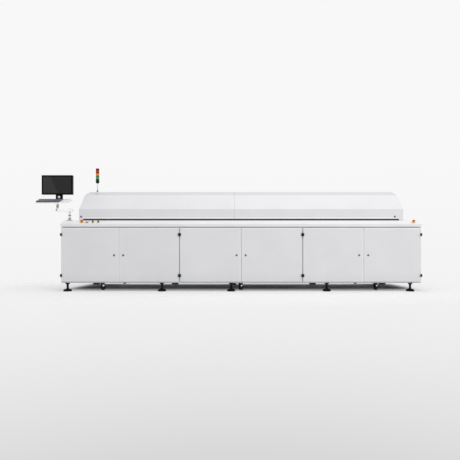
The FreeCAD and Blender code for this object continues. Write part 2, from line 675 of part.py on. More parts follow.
def rail_solids(y, side, hole_radius):
    """An open rail section with its chain. side is +1 where the board lies to +Y of the web."""
    z0 = RAIL_BOTTOM
    z1 = BOARD_HEIGHT + RAIL_ABOVE_BOARD
    ledge = BOARD_HEIGHT - CHAIN_HEIGHT
    outline = [
        (0, z0), (RAIL_FLANGE, z0), (RAIL_FLANGE, z0 + RAIL_PLATE), (RAIL_WEB, z0 + RAIL_PLATE),
        (RAIL_WEB, ledge - RAIL_PLATE), (RAIL_LEDGE, ledge - RAIL_PLATE), (RAIL_LEDGE, ledge), (RAIL_WEB, ledge),
        (RAIL_WEB, z1 - RAIL_PLATE), (RAIL_TOP_FLANGE, z1 - RAIL_PLATE), (RAIL_TOP_FLANGE, z1), (0, z1),
    ]
    end = END - RAIL_END_GAP
    rail = prism_yz([(y + side * u, z) for u, z in outline], -end, end)
    z = rod_z()
    holes = [rod(hole_radius, (x, y - RAIL_FLANGE, z), (x, y + RAIL_FLANGE, z)) for x in ROD_STATIONS]
    chain_y = sorted((y + side * (RAIL_LEDGE - CHAIN_WIDTH), y + side * RAIL_LEDGE))
    chain = box(-end, end, *chain_y, ledge, BOARD_HEIGHT)
    return rail.cut(Part.makeCompound(holes)), chain


def make_conveyor():
    z = rod_z()
    rods = [rod(ROD_RADIUS, (x, -CHAMBER_HALF_WIDTH, z), (x, CHAMBER_HALF_WIDTH, z)) for x in ROD_STATIONS]
    save("front_rail", *rail_solids(FRONT_RAIL_Y, 1, ROD_RADIUS), *rods)
    save("rear_rail", *rail_solids(REAR_RAIL_Y, -1, ROD_RADIUS + RUNNING))


# Hood: two folded shells that lift together about the rear hinge line
def hood_line():
    """Half of the hood's outside, from the front corner's foot up to the roof's middle."""
    band = DECK_TOP + HOOD_BAND_TOP
    slope = band + HOOD_SLOPE_RISE
    roof = slope + HOOD_ROOF_RISE
    front = [
        (HOOD_FRONT, HOOD_BASE),
        (HOOD_FRONT, band),
        (HOOD_FRONT + HOOD_SLOPE_DEPTH, slope),
        (HOOD_FRONT + HOOD_SLOPE_DEPTH + HOOD_ROOF_DEPTH, roof),
    ]
    return front + [(-y, z) for y, z in front[::-1]]


def make_hood_shell(x0, x1, end, lock_x):
    """A folded shell with its end plate, open underneath, raised above the deck between the corners."""
    line = hood_line()
    shell = folded_sheet(line, HOOD_SHEET, x0, x1)
    inner_end = end - math.copysign(HOOD_SHEET, end)
    shell = shell.fuse(prism_yz(line, *sorted((inner_end, end))))
    corner = end - math.copysign(HOOD_CORNER, end)
    far = x0 if end > 0 else x1
    gap_x = sorted((corner, far))
    shell = shell.cut(box(*gap_x, HOOD_FRONT, -HOOD_FRONT, HOOD_BASE, DECK_TOP + HOOD_GAP))
    z = HOOD_BASE + HOOD_LOCK_RISE
    back = HOOD_FRONT + HOOD_SHEET
    return shell.cut(rod(LOCK_RADIUS + RUNNING, (lock_x, HOOD_FRONT, z), (lock_x, back, z))).removeSplitter()


def make_hood_hinge(x):
    """A plate on the rear deck with two ears and a pin, and the hood's leaf with the knuckle between them."""
    half = KNUCKLE_LENGTH / 2 + SIDE_PLAY
    outer = half + EAR_THICKNESS
    reach = KNUCKLE_RADIUS
    plate = box(x - outer, x + outer, HINGE_AXIS_Y - reach, HINGE_AXIS_Y + reach, DECK_TOP, DECK_TOP + HINGE_PLATE)
    block = plate
    for near, far in ((-outer, -half), (half, outer)):
        ear = box(x + near, x + far, HINGE_AXIS_Y - reach, HINGE_AXIS_Y + reach, DECK_TOP, HINGE_AXIS_Z)
        top = rod(reach, (x + near, HINGE_AXIS_Y, HINGE_AXIS_Z), (x + far, HINGE_AXIS_Y, HINGE_AXIS_Z))
        block = block.fuse([ear, top])
    pin = rod(HOOD_PIN_RADIUS, (x - outer, HINGE_AXIS_Y, HINGE_AXIS_Z), (x + outer, HINGE_AXIS_Y, HINGE_AXIS_Z))
    block = block.fuse(pin).removeSplitter()
    side = KNUCKLE_LENGTH / 2
    wall = -HOOD_FRONT
    knuckle = rod(reach, (x - side, HINGE_AXIS_Y, HINGE_AXIS_Z), (x + side, HINGE_AXIS_Y, HINGE_AXIS_Z))
    arm = box(x - side, x + side, wall, HINGE_AXIS_Y, HINGE_AXIS_Z, HINGE_AXIS_Z + reach)
    leaf_z = DECK_TOP + HOOD_GAP
    leaf = box(x - side, x + side, wall, wall + LEAF_THICKNESS, leaf_z, leaf_z + LEAF_HEIGHT)
    bore = rod(
        HOOD_PIN_RADIUS + RUNNING, (x - side, HINGE_AXIS_Y, HINGE_AXIS_Z), (x + side, HINGE_AXIS_Y, HINGE_AXIS_Z)
    )
    return block, knuckle.fuse([arm, leaf]).cut(bore).removeSplitter()


def make_hood():
    left_lock, right_lock = HOOD_LOCK_X
    gap = HOOD_SPLIT_GAP / 2
    save("hood_left", make_hood_shell(-HOOD_END, HOOD_SPLIT - gap, -HOOD_END, left_lock))
    save("hood_right", make_hood_shell(HOOD_SPLIT + gap, HOOD_END, HOOD_END, right_lock))
    z = HOOD_BASE + HOOD_LOCK_RISE
    cam = HOOD_FRONT + HOOD_SHEET + CAM_CLEARANCE
    save("hood_lock_left", make_cam_lock(left_lock, HOOD_FRONT, z, cam, 0))
    save("hood_lock_right", make_cam_lock(right_lock, HOOD_FRONT, z, cam, 0))
    hinges = [make_hood_hinge(x) for x in HOOD_HINGE_X]
    save("hood_hinges", *[block for block, leaf in hinges])
    save("hood_hinge_leaves", *[leaf for block, leaf in hinges])


# Electrical back plate between the rear posts
def make_electrical_panel():
    y1 = -FRAME_FRONT - TUBE
    y0 = y1 - PLATE_THICKNESS
    half = HINGE_LINE + TUBE / 2
    pieces = [box(-half, half, y0, y1, PLATE_BOTTOM, PLATE_BOTTOM + PLATE_HEIGHT)]
    pitch = 2 * HINGE_LINE / DEVICE_COUNT
    for row in range(DEVICE_ROWS):
        z = PLATE_BOTTOM + PLATE_HEIGHT * (2 * row + 1) / (2 * DEVICE_ROWS)
        for place in range(DEVICE_COUNT):
            x = -HINGE_LINE + (2 * place + 1) * pitch / 2
            tall = DEVICE_HEIGHT / 2
            low, high = z - tall, z + tall
            face, shoulder = y0 - DEVICE_DEPTH, y0 - DEVICE_DEPTH + DEVICE_STEP
            step = [
                (y0, low), (y0, high), (shoulder, high), (shoulder, high - DEVICE_STEP),
                (face, high - DEVICE_STEP), (face, low + DEVICE_STEP), (shoulder, low + DEVICE_STEP), (shoulder, low),
            ]
            pieces.append(prism_yz(step, x - DEVICE_WIDTH / 2, x + DEVICE_WIDTH / 2))
    save("electrical_panel", *pieces)


# Levelling feet and casters
def make_feet():
    """A screwed foot: pad, dome, stem and the lock nut under the frame."""
    shape = [
        (0, 0),
        (FOOT_PAD_RADIUS, 0),
        (FOOT_PAD_RADIUS, FOOT_PAD_HEIGHT),
        (FOOT_PAD_RADIUS - FOOT_PAD_CHAMFER, FOOT_PAD_HEIGHT + FOOT_PAD_CHAMFER),
        (FOOT_STEM_RADIUS, FOOT_DOME),
        (FOOT_STEM_RADIUS, FRAME_BOTTOM - FOOT_NUT - FOOT_NUT_CONE),
        (FOOT_NUT_RADIUS, FRAME_BOTTOM - FOOT_NUT),
        (FOOT_NUT_RADIUS, FRAME_BOTTOM),
        (0, FRAME_BOTTOM),
    ]
    line = FRAME_FRONT + TUBE / 2
    save("levelling_feet", *[turned(shape, (x, y, 0)) for y in (line, -line) for x in FOOT_X])


def make_fork(x, y, top):
    """An inverted U over the wheel, trailing to +X of the kingpin, with the axle through its legs."""
    half = WHEEL_WIDTH / 2 + SIDE_PLAY + FORK_THICKNESS
    axle_x = x + CASTER_TRAIL
    side = FORK_WIDTH / 2
    crown = box(x - side, axle_x + side, y - half, y + half, top - FORK_THICKNESS, top)
    crown = upright_round(crown, FORK_ROUND)
    legs = []
    for sign in (-1, 1):
        y0, y1 = sorted((y + sign * half, y + sign * (half - FORK_THICKNESS)))
        low = WHEEL_Z - side / 2
        outline = [
            V(x - side / 2, y0, top), V(axle_x + side, y0, top), V(axle_x + side / 2, y0, low),
            V(axle_x - side / 2, y0, low), V(x - side / 2, y0, top),
        ]
        legs.append(Part.Face(Part.makePolygon(outline)).extrude(V(0, y1 - y0, 0)))
    axle = rod(AXLE_RADIUS, (axle_x, y - half, WHEEL_Z), (axle_x, y + half, WHEEL_Z))
    return crown.fuse(legs + [axle])


def make_wheel(x, y):
    """A tyre with rounded shoulders and recessed hub faces, bored for its axle."""
    half = WHEEL_WIDTH / 2
    bore = AXLE_RADIUS + RUNNING
    hub = AXLE_RADIUS + WHEEL_RECESS
    shape = [
        (bore, -half), (hub, -half), (hub, -half + WHEEL_RECESS), (WHEEL_RADIUS / 2, -half + WHEEL_RECESS),
        (WHEEL_RADIUS / 2 + WHEEL_RECESS, -half), (WHEEL_RADIUS - WHEEL_ROUND, -half),
        (WHEEL_RADIUS, -half + WHEEL_ROUND),
    ]
    shape += [(r, -h) for r, h in shape[::-1]]
    return turned(shape, (x + CASTER_TRAIL, y, WHEEL_Z), (0, 1, 0))


def make_casters():
    """Three swivel casters in front and three rigid ones behind."""
    mounts = []
    plate_bottom = FRAME_BOTTOM - CASTER_PLATE
    side = CASTER_PLATE_SIDE / 2
    for number, x in enumerate(CASTER_X, 1):
        plate = box(x - side, x + side, CASTER_Y - side, CASTER_Y + side, plate_bottom, FRAME_BOTTOM)
        crown_top = plate_bottom - SIDE_PLAY
        crown_bottom = crown_top - FORK_THICKNESS
        pin = rod(KINGPIN_RADIUS, (x, CASTER_Y, crown_bottom - SIDE_PLAY), (x, CASTER_Y, plate_bottom))
        low = crown_bottom - SIDE_PLAY - KINGPIN_HEAD
        head = rod(KINGPIN_HEAD_RADIUS, (x, CASTER_Y, low), (x, CASTER_Y, low + KINGPIN_HEAD))
        mounts.append(plate.fuse([pin, head]))
        fork = make_fork(x, CASTER_Y, crown_top)
        fork = fork.cut(rod(KINGPIN_RADIUS + RUNNING, (x, CASTER_Y, crown_bottom), (x, CASTER_Y, crown_top)))
        wheel = make_wheel(x, CASTER_Y)
        for solid in (fork, wheel):
            solid.rotate(V(x, CASTER_Y, 0), V(0, 0, 1), CASTER_TURN)
        save(f"caster_fork_{number}", fork)
        save(f"caster_wheel_{number}", wheel)
        rear_plate = mirrored_y(plate)
        mounts.append(rear_plate.fuse(make_fork(x, -CASTER_Y, plate_bottom)).removeSplitter())
        save(f"caster_wheel_{number + len(CASTER_X)}", make_wheel(x, -CASTER_Y))
    save("caster_mounts", *mounts)


# Controls on the sloped ledge, modelled upright and then laid on the slope
def on_ledge(solid, x):
    """Lays an upright piece on the slope at its place along X."""
    place = V(x, FRONT + LEDGE_DEPTH * CONTROL_SHARE, LIP_TOP + LEDGE_RISE * CONTROL_SHARE)
    solid.Placement = FreeCAD.Placement(place, FreeCAD.Rotation(V(1, 0, 0), LEDGE_ANGLE))
    return solid


def collar(bottom):
    """A ring that guides a control's shaft."""
    ring = rod(COLLAR_RADIUS, (0, 0, bottom), (0, 0, bottom + COLLAR_HEIGHT))
    return ring.cut(rod(SHAFT_RADIUS + RUNNING, (0, 0, bottom), (0, 0, bottom + COLLAR_HEIGHT)))


def make_controls():
    plates, rings = [], []
    for name, x in zip(("estop_left", "estop_right"), ESTOP_X):
        plates.append(on_ledge(rod(ESTOP_DISC_RADIUS, (0, 0, 0), (0, 0, ESTOP_DISC)), x))
        rings.append(on_ledge(collar(ESTOP_DISC), x))
        under = ESTOP_DISC + COLLAR_HEIGHT + ESTOP_TRAVEL + SIDE_PLAY
        low = ESTOP_DISC + ESTOP_TRAVEL + SIDE_PLAY
        top = under + ESTOP_HEAD
        mushroom = turned([
            (0, low), (SHAFT_RADIUS, low), (SHAFT_RADIUS, under), (ESTOP_HEAD_RADIUS - LEGEND_THICKNESS, under),
            (ESTOP_HEAD_RADIUS, under + ESTOP_SKIRT), (ESTOP_HEAD_RADIUS - ESTOP_SHOULDER, top - ESTOP_SHOULDER),
            (ESTOP_CROWN_RADIUS, top), (0, top),
        ])
        save(name, on_ledge(mushroom, x))
    base = LEGEND_THICKNESS
    top = base + COLLAR_HEIGHT
    for x in SELECTOR_X + (BUTTON_X,):
        half_w, half_l = LEGEND_WIDTH / 2, LEGEND_LENGTH / 2
        plates.append(on_ledge(box(-half_w, half_w, -half_l, half_l, 0, base), x))
        rings.append(on_ledge(collar(base), x))
    for number, x in enumerate(SELECTOR_X, 1):
        shaft = rod(SHAFT_RADIUS, (0, 0, base + SIDE_PLAY), (0, 0, top + SIDE_PLAY))
        disc = rod(KNOB_RADIUS, (0, 0, top + SIDE_PLAY), (0, 0, top + SIDE_PLAY + KNOB_HEIGHT))
        half = KNOB_GRIP_WIDTH / 2
        grip = box(-half, half, -KNOB_RADIUS, KNOB_RADIUS, top + SIDE_PLAY, top + KNOB_GRIP_HEIGHT)
        grip = upright_round(grip, KNOB_GRIP_ROUND)
        save(f"selector_{number}", on_ledge(shaft.fuse([disc, grip]).removeSplitter(), x))
    under = top + BUTTON_TRAVEL + SIDE_PLAY
    button = turned([
        (0, base + BUTTON_TRAVEL + SIDE_PLAY), (SHAFT_RADIUS, base + BUTTON_TRAVEL + SIDE_PLAY),
        (SHAFT_RADIUS, under), (BUTTON_RADIUS, under), (BUTTON_RADIUS, under + BUTTON_HEIGHT - BUTTON_CHAMFER),
        (BUTTON_RADIUS - BUTTON_CHAMFER, under + BUTTON_HEIGHT), (0, under + BUTTON_HEIGHT),
    ])
    save("push_button", on_ledge(button, BUTTON_X))
    save("legend_plates", *plates)
    save("switch_collars", *rings)


# Tower light on the hood's roof
def make_tower():
    slope = DECK_TOP + HOOD_BAND_TOP + HOOD_SLOPE_RISE
    share = (TOWER_Y - HOOD_FRONT - HOOD_SLOPE_DEPTH) / HOOD_ROOF_DEPTH
    roof = slope + share * HOOD_ROOF_RISE
    tilt = math.degrees(math.atan2(HOOD_ROOF_RISE, HOOD_ROOF_DEPTH))
    foot = rod(TOWER_FOOT_RADIUS, (0, 0, 0), (0, 0, TOWER_FOOT))
    foot.Placement = FreeCAD.Placement(V(TOWER_X, TOWER_Y, roof), FreeCAD.Rotation(V(1, 0, 0), tilt))
    base = roof + TOWER_POLE_RISE
    pole = rod(TOWER_POLE_RADIUS, (TOWER_X, TOWER_Y, roof + TOWER_FOOT / 2), (TOWER_X, TOWER_Y, base))
    save("tower_pole", foot.fuse(pole).removeSplitter())
    housing = [turned([
        (0, 0), (TOWER_RADIUS - TOWER_BASE_ROUND, 0), (TOWER_RADIUS, TOWER_BASE_ROUND),
        (TOWER_RADIUS, TOWER_BASE), (0, TOWER_BASE),
    ], (TOWER_X, TOWER_Y, base))]
    z = base + TOWER_BASE
    for name in ("lens_green", "lens_amber", "lens_red"):
        low, high = (TOWER_X, TOWER_Y, z), (TOWER_X, TOWER_Y, z + LENS_HEIGHT)
        save(name, rod(TOWER_RADIUS - LENS_INSET, low, high))
        z += LENS_HEIGHT
        if name != "lens_red":
            housing.append(rod(TOWER_RADIUS, (TOWER_X, TOWER_Y, z), (TOWER_X, TOWER_Y, z + LENS_RING)))
            z += LENS_RING
    housing.append(turned([
        (0, 0), (TOWER_RADIUS, 0), (TOWER_RADIUS, TOWER_CAP - TOWER_CAP_CHAMFER),
        (TOWER_RADIUS - TOWER_CAP_CHAMFER, TOWER_CAP), (0, TOWER_CAP),
    ], (TOWER_X, TOWER_Y, z)))
    save("tower_housing", *housing)


# Operator station: post, swing arm, tilted tray, keyboard and monitor
def on_tray(solid):
    """Tilts a piece modelled flat, about the line through the riser's axis at the tray's height."""
    solid.rotate(V(RISER_X, POST_Y, TRAY_PIVOT_Z), V(1, 0, 0), TRAY_TILT)
    return solid


def make_post():
    side = POST_FOOT_SIDE / 2
    plate = upright_round(
        box(POST_X - side, POST_X + side, POST_Y - side, POST_Y + side, DECK_TOP, DECK_TOP + POST_FOOT), POST_FOOT
    )
    column = rod(POST_RADIUS, (POST_X, POST_Y, DECK_TOP), (POST_X, POST_Y, ARM_BOTTOM - SIDE_PLAY))
    pin = rod(POST_PIN_RADIUS, (POST_X, POST_Y, DECK_TOP), (POST_X, POST_Y, ARM_TOP))
    rings = []
    for rise in POST_COLLAR_RISES:
        z = DECK_TOP + rise
        rings.append(rod(POST_COLLAR_RADIUS, (POST_X, POST_Y, z), (POST_X, POST_Y, z + POST_COLLAR)))
    save("monitor_post", plate.fuse([column, pin] + rings).removeSplitter())


def make_arm():
    arm = stadium(RISER_X, POST_X + ARM_TAIL, POST_Y, ARM_HALF_WIDTH, ARM_BOTTOM, ARM_TOP)
    arm = arm.cut(rod(POST_PIN_RADIUS + RUNNING, (POST_X, POST_Y, ARM_BOTTOM), (POST_X, POST_Y, ARM_TOP)))
    pin = rod(RISER_PIN_RADIUS, (RISER_X, POST_Y, ARM_TOP), (RISER_X, POST_Y, ARM_TOP + RISER_PIN))
    save("swing_arm", arm.fuse(pin).removeSplitter())


def make_tray():
    """A rimmed tray tilted to the operator, on a gusseted riser that turns on the arm's pin."""
    x0, x1 = RISER_X - TRAY_LEFT, RISER_X + TRAY_RIGHT
    y0, y1 = POST_Y - TRAY_FRONT, POST_Y + TRAY_BACK
    z0 = TRAY_PIVOT_Z - TRAY_RIM
    tray = upright_round(box(x0, x1, y0, y1, z0, TRAY_PIVOT_Z), TRAY_ROUND)
    wall = TRAY_SHEET
    hollow = box(x0 + wall, x1 - wall, y0 + wall, y1 - wall, z0, TRAY_PIVOT_Z - wall)
    tray = on_tray(tray.cut(upright_round(hollow, TRAY_ROUND - wall)))
    plane = box(x0, x1, y0, y1, z0 - TRAY_RISE, TRAY_PIVOT_Z - wall)
    sleeve = rod(RISER_RADIUS, (RISER_X, POST_Y, ARM_TOP + SIDE_PLAY), (RISER_X, POST_Y, TRAY_PIVOT_Z))
    web = box(
        RISER_X - TRAY_WEB / 2, RISER_X + TRAY_WEB / 2, POST_Y - TRAY_FRONT / 2, POST_Y + TRAY_BACK / 2,
        ARM_TOP + RISER_PIN, TRAY_PIVOT_Z + TRAY_RISE / 2,
    )
    riser = sleeve.fuse(web).common(on_tray(plane))
    depth = RISER_PIN + SIDE_PLAY
    bore = rod(RISER_PIN_RADIUS + RUNNING, (RISER_X, POST_Y, ARM_TOP), (RISER_X, POST_Y, ARM_TOP + depth))
    save("keyboard_tray", tray.fuse(riser).cut(bore).removeSplitter())
    left = x0 + KEYBOARD_MARGIN
    front = y0 + KEYBOARD_MARGIN
    keyboard = box(
        left, left + KEYBOARD_WIDTH, front, front + KEYBOARD_DEPTH, TRAY_PIVOT_Z, TRAY_PIVOT_Z + KEYBOARD_HEIGHT
    )
    save("keyboard", on_tray(upright_round(keyboard, KEYBOARD_MARGIN)))


def make_monitor():
    """A flat monitor that tilts on a pin in the neck behind it."""
    middle = RISER_X + NECK_SHIFT
    neck_y = POST_Y + NECK_BACK
    axis_z = MONITOR_BOTTOM + MONITOR_HEIGHT / 2
    neck_front = neck_y - NECK_THICKNESS / 2
    half = NECK_WIDTH / 2
    blade = box(middle - half, middle + half, neck_front, neck_front + NECK_THICKNESS, TRAY_PIVOT_Z, axis_z)
    neck_half = half - TILT_EAR - SIDE_PLAY
    ends = [(middle - neck_half, neck_y, axis_z), (middle + neck_half, neck_y, axis_z)]
    for sign in (-1, 1):
        x0, x1 = sorted((middle + sign * neck_half, middle + sign * half))
        high = neck_front + NECK_THICKNESS
        low_z = axis_z - TILT_EAR_RADIUS - TILT_GAP
        blade = blade.cut(box(x0, x1, neck_front, high, low_z, axis_z))
    below = box(
        RISER_X - TRAY_LEFT, RISER_X + TRAY_RIGHT, POST_Y - TRAY_FRONT, POST_Y + TRAY_FRONT,
        TRAY_PIVOT_Z - TRAY_RISE, TRAY_PIVOT_Z,
    )
    pin = rod(TILT_PIN_RADIUS, (middle - half, neck_y, axis_z), (middle + half, neck_y, axis_z))
    neck = blade.fuse(rod(NECK_THICKNESS / 2, *ends)).cut(on_tray(below)).fuse(pin)
    save("monitor_neck", neck.removeSplitter())
    back = neck_front - TILT_GAP
    front = back - MONITOR_THICKNESS
    x0, x1 = RISER_X - MONITOR_WIDTH / 2, RISER_X + MONITOR_WIDTH / 2
    top = MONITOR_BOTTOM + MONITOR_HEIGHT
    case = box(x0, x1, front, back, MONITOR_BOTTOM, top)
    depth_edges = [e for e in case.Edges if e.BoundBox.YLength > MONITOR_THICKNESS - SIDE_PLAY]
    case = case.makeFillet(MONITOR_ROUND, depth_edges)
    sx0, sx1 = x0 + BEZEL, x1 - BEZEL
    sz0, sz1 = MONITOR_BOTTOM + BEZEL, top - BEZEL
    case = case.cut(box(sx0, sx1, front, front + SCREEN_RECESS + SCREEN_THICKNESS, sz0, sz1))
    for sign in (-1, 1):
        ear_x = sorted((middle + sign * (neck_half + SIDE_PLAY), middle + sign * half))
        arm = box(*ear_x, back, neck_y, axis_z - TILT_EAR_RADIUS, axis_z + TILT_EAR_RADIUS)
        eye = rod(TILT_EAR_RADIUS, (ear_x[0], neck_y, axis_z), (ear_x[1], neck_y, axis_z))
        case = case.fuse([arm, eye])
    bore = rod(TILT_PIN_RADIUS + RUNNING, (middle - half, neck_y, axis_z), (middle + half, neck_y, axis_z))
    save("monitor_housing", case.cut(bore).removeSplitter())
    face = front + SCREEN_RECESS
    save("monitor_screen", box(sx0, sx1, face, face + SCREEN_THICKNESS, sz0, sz1))


def main():
    os.makedirs("parts", exist_ok=True)
    make_base_frame()
    make_doors()
    make_panels()
    make_deck()
    make_lower_chamber()
    make_upper_chamber()
    make_blowers()
    make_conveyor()
    make_hood()
    make_electrical_panel()
    make_feet()
    make_casters()
    make_controls()
    make_tower()
    make_post()
    make_arm()
    make_tray()
    make_monitor()


main()
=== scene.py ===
"""Dresses the in-line reflow oven: finishes on its solids, and the small formed pieces that they carry."""
import json
import math

import bmesh
import bpy
import numpy as np
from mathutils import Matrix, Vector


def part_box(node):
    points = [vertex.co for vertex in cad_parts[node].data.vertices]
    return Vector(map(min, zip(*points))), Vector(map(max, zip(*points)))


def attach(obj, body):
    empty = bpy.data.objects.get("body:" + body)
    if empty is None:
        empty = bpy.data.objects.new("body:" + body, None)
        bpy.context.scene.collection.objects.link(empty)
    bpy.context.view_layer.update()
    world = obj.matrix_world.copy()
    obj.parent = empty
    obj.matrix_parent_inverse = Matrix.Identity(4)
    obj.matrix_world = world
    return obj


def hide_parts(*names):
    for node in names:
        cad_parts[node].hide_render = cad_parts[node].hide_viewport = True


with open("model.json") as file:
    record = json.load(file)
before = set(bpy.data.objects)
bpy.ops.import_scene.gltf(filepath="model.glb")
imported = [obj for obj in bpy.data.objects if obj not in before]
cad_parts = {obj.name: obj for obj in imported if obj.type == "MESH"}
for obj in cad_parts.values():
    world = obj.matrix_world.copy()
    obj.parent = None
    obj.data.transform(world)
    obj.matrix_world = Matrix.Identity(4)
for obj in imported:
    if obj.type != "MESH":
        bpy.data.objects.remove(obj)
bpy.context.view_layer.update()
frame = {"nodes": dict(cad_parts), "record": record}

bl_info = {
    "name": "Reflow Oven Dressing",
    "version": (1, 0, 0),
    "blender": (4, 5, 0),
    "location": "View3D > Sidebar > Oven",
    "description": "Finishes and formed pieces for an in-line conveyor reflow oven",
    "category": "Object",
}

MM = 0.001
JOINTS = {joint["name"]: joint for joint in frame["record"]["behaviour"]["joints"]}

# Places of the solids, in metres
FRONT = -0.6765
AHEAD = -0.800  # in front of every hinge lug
CABINET_END = 2.655
REAR_JOINT = 0.905
REAR_PANELS = ((-CABINET_END, -REAR_JOINT), (-REAR_JOINT, REAR_JOINT), (REAR_JOINT, CABINET_END))
REAR_PANEL_GAP = 2.5 * MM
DECK_TOP = 1.050
HOOD_FRONT = -0.5465
HOOD_END = 2.431
HOOD_SEAM = -0.100
HOOD_ROOF = 1.4633
HOOD_CLEAR = 1.60  # above the roof
LEDGE_PLACE = (-0.6303, 1.01636)
LEDGE_NORMAL = (0.0, -0.46641, 0.88457)
BUTTON_X = -2.281
POST_COLLARS = ((-1.0 * MM, 8.2 * MM), (23.8 * MM, 34.2 * MM), (73.8 * MM, 84.2 * MM))
ARM_UNDERSIDE = 1.1855
ARM_KNOB = (-2.762, -0.5525, 1.2085)
RISER = (-2.762, -0.5265, 1.359)
RISER_FOOT = 1.2312
RISER_FOOT_HEIGHT = 58 * MM
RISER_KNOB = (-2.7507, -0.5378, 1.266)
TRAY_TILT = math.radians(22.0)
NECK_GLINT_HEIGHT = 1.4130

# Places of the formed pieces, in metres
SEAL_END = 2.38
SEAL_SETBACK = 30 * MM
HOOD_HIGHLIGHT_END = 2.364
SCREW_INSET = 30 * MM
END_SCREWS_Y = (-0.61, -0.36, 0.36, 0.61)
END_SCREWS_Z = (0.165, 0.545, 0.925)
REAR_SCREWS_Z = (0.165, 0.537, 0.909)
KEYBOARD_CORNER = (-0.274, -0.122, 0.014)
LOUVRE_HALF = 0.163
LOUVRE_TOP = 0.782
LOUVRE_PITCH = 42 * MM

# The stage: its lamps and floor in metres, and the camera's shift in pixels of a square picture
LAMP_AIM = (0.0, -0.3, 0.8)
KEY_PLACE = (6.5, -6.0, 5.5)
TOP_PLACE = (1.0, -2.0, 6.5)
STATION_PLACE = (-2.95, -4.5, 0.25)
STATION_AIM = (-2.685, -0.555, 1.205)
FLOOR_REACH = 30.0
PICTURE = 460
SHIFT = (-11.1, 20.0)


class OvenFinish(bpy.types.PropertyGroup):
    """Colours of the oven's finishes, as sRGB hex values."""
    cabinet: bpy.props.StringProperty(
        name="Cabinet coat", description="Powder coat of the doors and end panels", default="EAEAED")
    deck: bpy.props.StringProperty(
        name="Deck coat", description="Powder coat of the lip, ledge and deck", default="F2F2F4")
    hood: bpy.props.StringProperty(
        name="Hood coat", description="Powder coat of the lifting hood", default="EBEBEE")
    frame: bpy.props.StringProperty(
        name="Frame coat", description="Powder coat of the tube frame", default="D2D3D7")
    station: bpy.props.StringProperty(
        name="Station coat", description="Powder coat of the operator's arm, post and tray", default="FAFAFB")
    stop: bpy.props.StringProperty(
        name="Stop red", description="Moulded red of the mushroom heads", default="DA3034")
    legend: bpy.props.StringProperty(
        name="Legend yellow", description="Moulded yellow of the legend plates", default="F0E07A")


class OvenSizes(bpy.types.PropertyGroup):
    """Sizes of the formed pieces, in metres."""
    lens_ribs: bpy.props.IntProperty(
        name="Lens ribs", description="Upright ribs round each lamp lens", default=30, min=8, max=60)
    lens_rib: bpy.props.FloatProperty(
        name="Rib depth", description="How far a lens rib stands out", default=0.9 * MM, unit="LENGTH")
    key_pitch: bpy.props.FloatProperty(
        name="Key pitch", description="Distance between keys along a row", default=14.9 * MM, unit="LENGTH")
    row_pitch: bpy.props.FloatProperty(
        name="Row pitch", description="Distance between rows of keys", default=20.0 * MM, unit="LENGTH")
    key_height: bpy.props.FloatProperty(
        name="Key height", description="How far a key stands up", default=4.5 * MM, unit="LENGTH")
    seal_height: bpy.props.FloatProperty(
        name="Seal height", description="Height of the hood's bulb seal", default=52.0 * MM, unit="LENGTH")
    screw_radius: bpy.props.FloatProperty(
        name="Screw radius", description="Radius of a panel screw's head", default=7.0 * MM, unit="LENGTH")


class OvenStage(bpy.types.PropertyGroup):
    """Camera and light."""
    lens: bpy.props.FloatProperty(
        name="Lens", description="Focal length on a 36 mm sensor", default=33.3, unit="CAMERA")
    eye: bpy.props.FloatVectorProperty(
        name="Camera place", description="Where the camera stands", default=(0.0, -6.9265, 0.609),
        subtype="TRANSLATION")
    backdrop: bpy.props.StringProperty(
        name="Backdrop", description="Colour behind the object", default="F8F8F8")
    fill: bpy.props.FloatProperty(
        name="Fill light", description="Strength of the even light from all round", default=0.69)
    key: bpy.props.FloatProperty(
        name="Key light", description="Power of the large lamp at the right", default=100.0, unit="POWER")
    top: bpy.props.FloatProperty(
        name="Top light", description="Power of the large lamp above", default=72.0, unit="POWER")
    station: bpy.props.FloatProperty(
        name="Station light", description="Power of the narrow lamp on the operator's arm", default=135.0,
        unit="POWER")


def linear(hex_colour):
    """An sRGB hex value as a linear colour, with its alpha."""
    value = np.array([int(hex_colour[i:i + 2], 16) for i in (0, 2, 4)]) / 255.0
    value = np.where(value <= 0.04045, value / 12.92, ((value + 0.055) / 1.055) ** 2.4)
    return (*value.tolist(), 1.0)


def shade(hex_colour, factor):
    """A hex value made darker or lighter by a factor."""
    parts = [min(255, round(int(hex_colour[i:i + 2], 16) * factor)) for i in (0, 2, 4)]
    return "".join(f"{part:02X}" for part in parts)


def fill(tree, node, inputs):
    """Fills a node's inputs with values or (node, output) links."""
    for socket, value in dict(inputs).items():
        if isinstance(value, tuple) and isinstance(value[0], bpy.types.Node):
            tree.links.new(value[0].outputs[value[1]], node.inputs[socket])
        else:
            node.inputs[socket].default_value = value


def add(tree, kind, inputs=(), **settings):
    """Adds a shader node, sets its properties and fills its inputs."""
    node = tree.nodes.new(f"ShaderNode{kind}")
    for name, value in settings.items():
        setattr(node, name, value)
    fill(tree, node, inputs)
    return node


def new_material(name):
    """An empty node material, with its surface shader, its tree and its object coordinates."""
    material = bpy.data.materials.new(name)
    material.use_nodes = True
    tree = material.node_tree
    tree.nodes.clear()
    shader = add(tree, "BsdfPrincipled")
    add(tree, "OutputMaterial", {"Surface": (shader, "BSDF")})
    place = add(tree, "TexCoord")
    return material, tree, shader, place


def per_metre(size_mm):
    """The texture scale at which one feature is that many millimetres."""
    return 1.0 / (size_mm * MM)


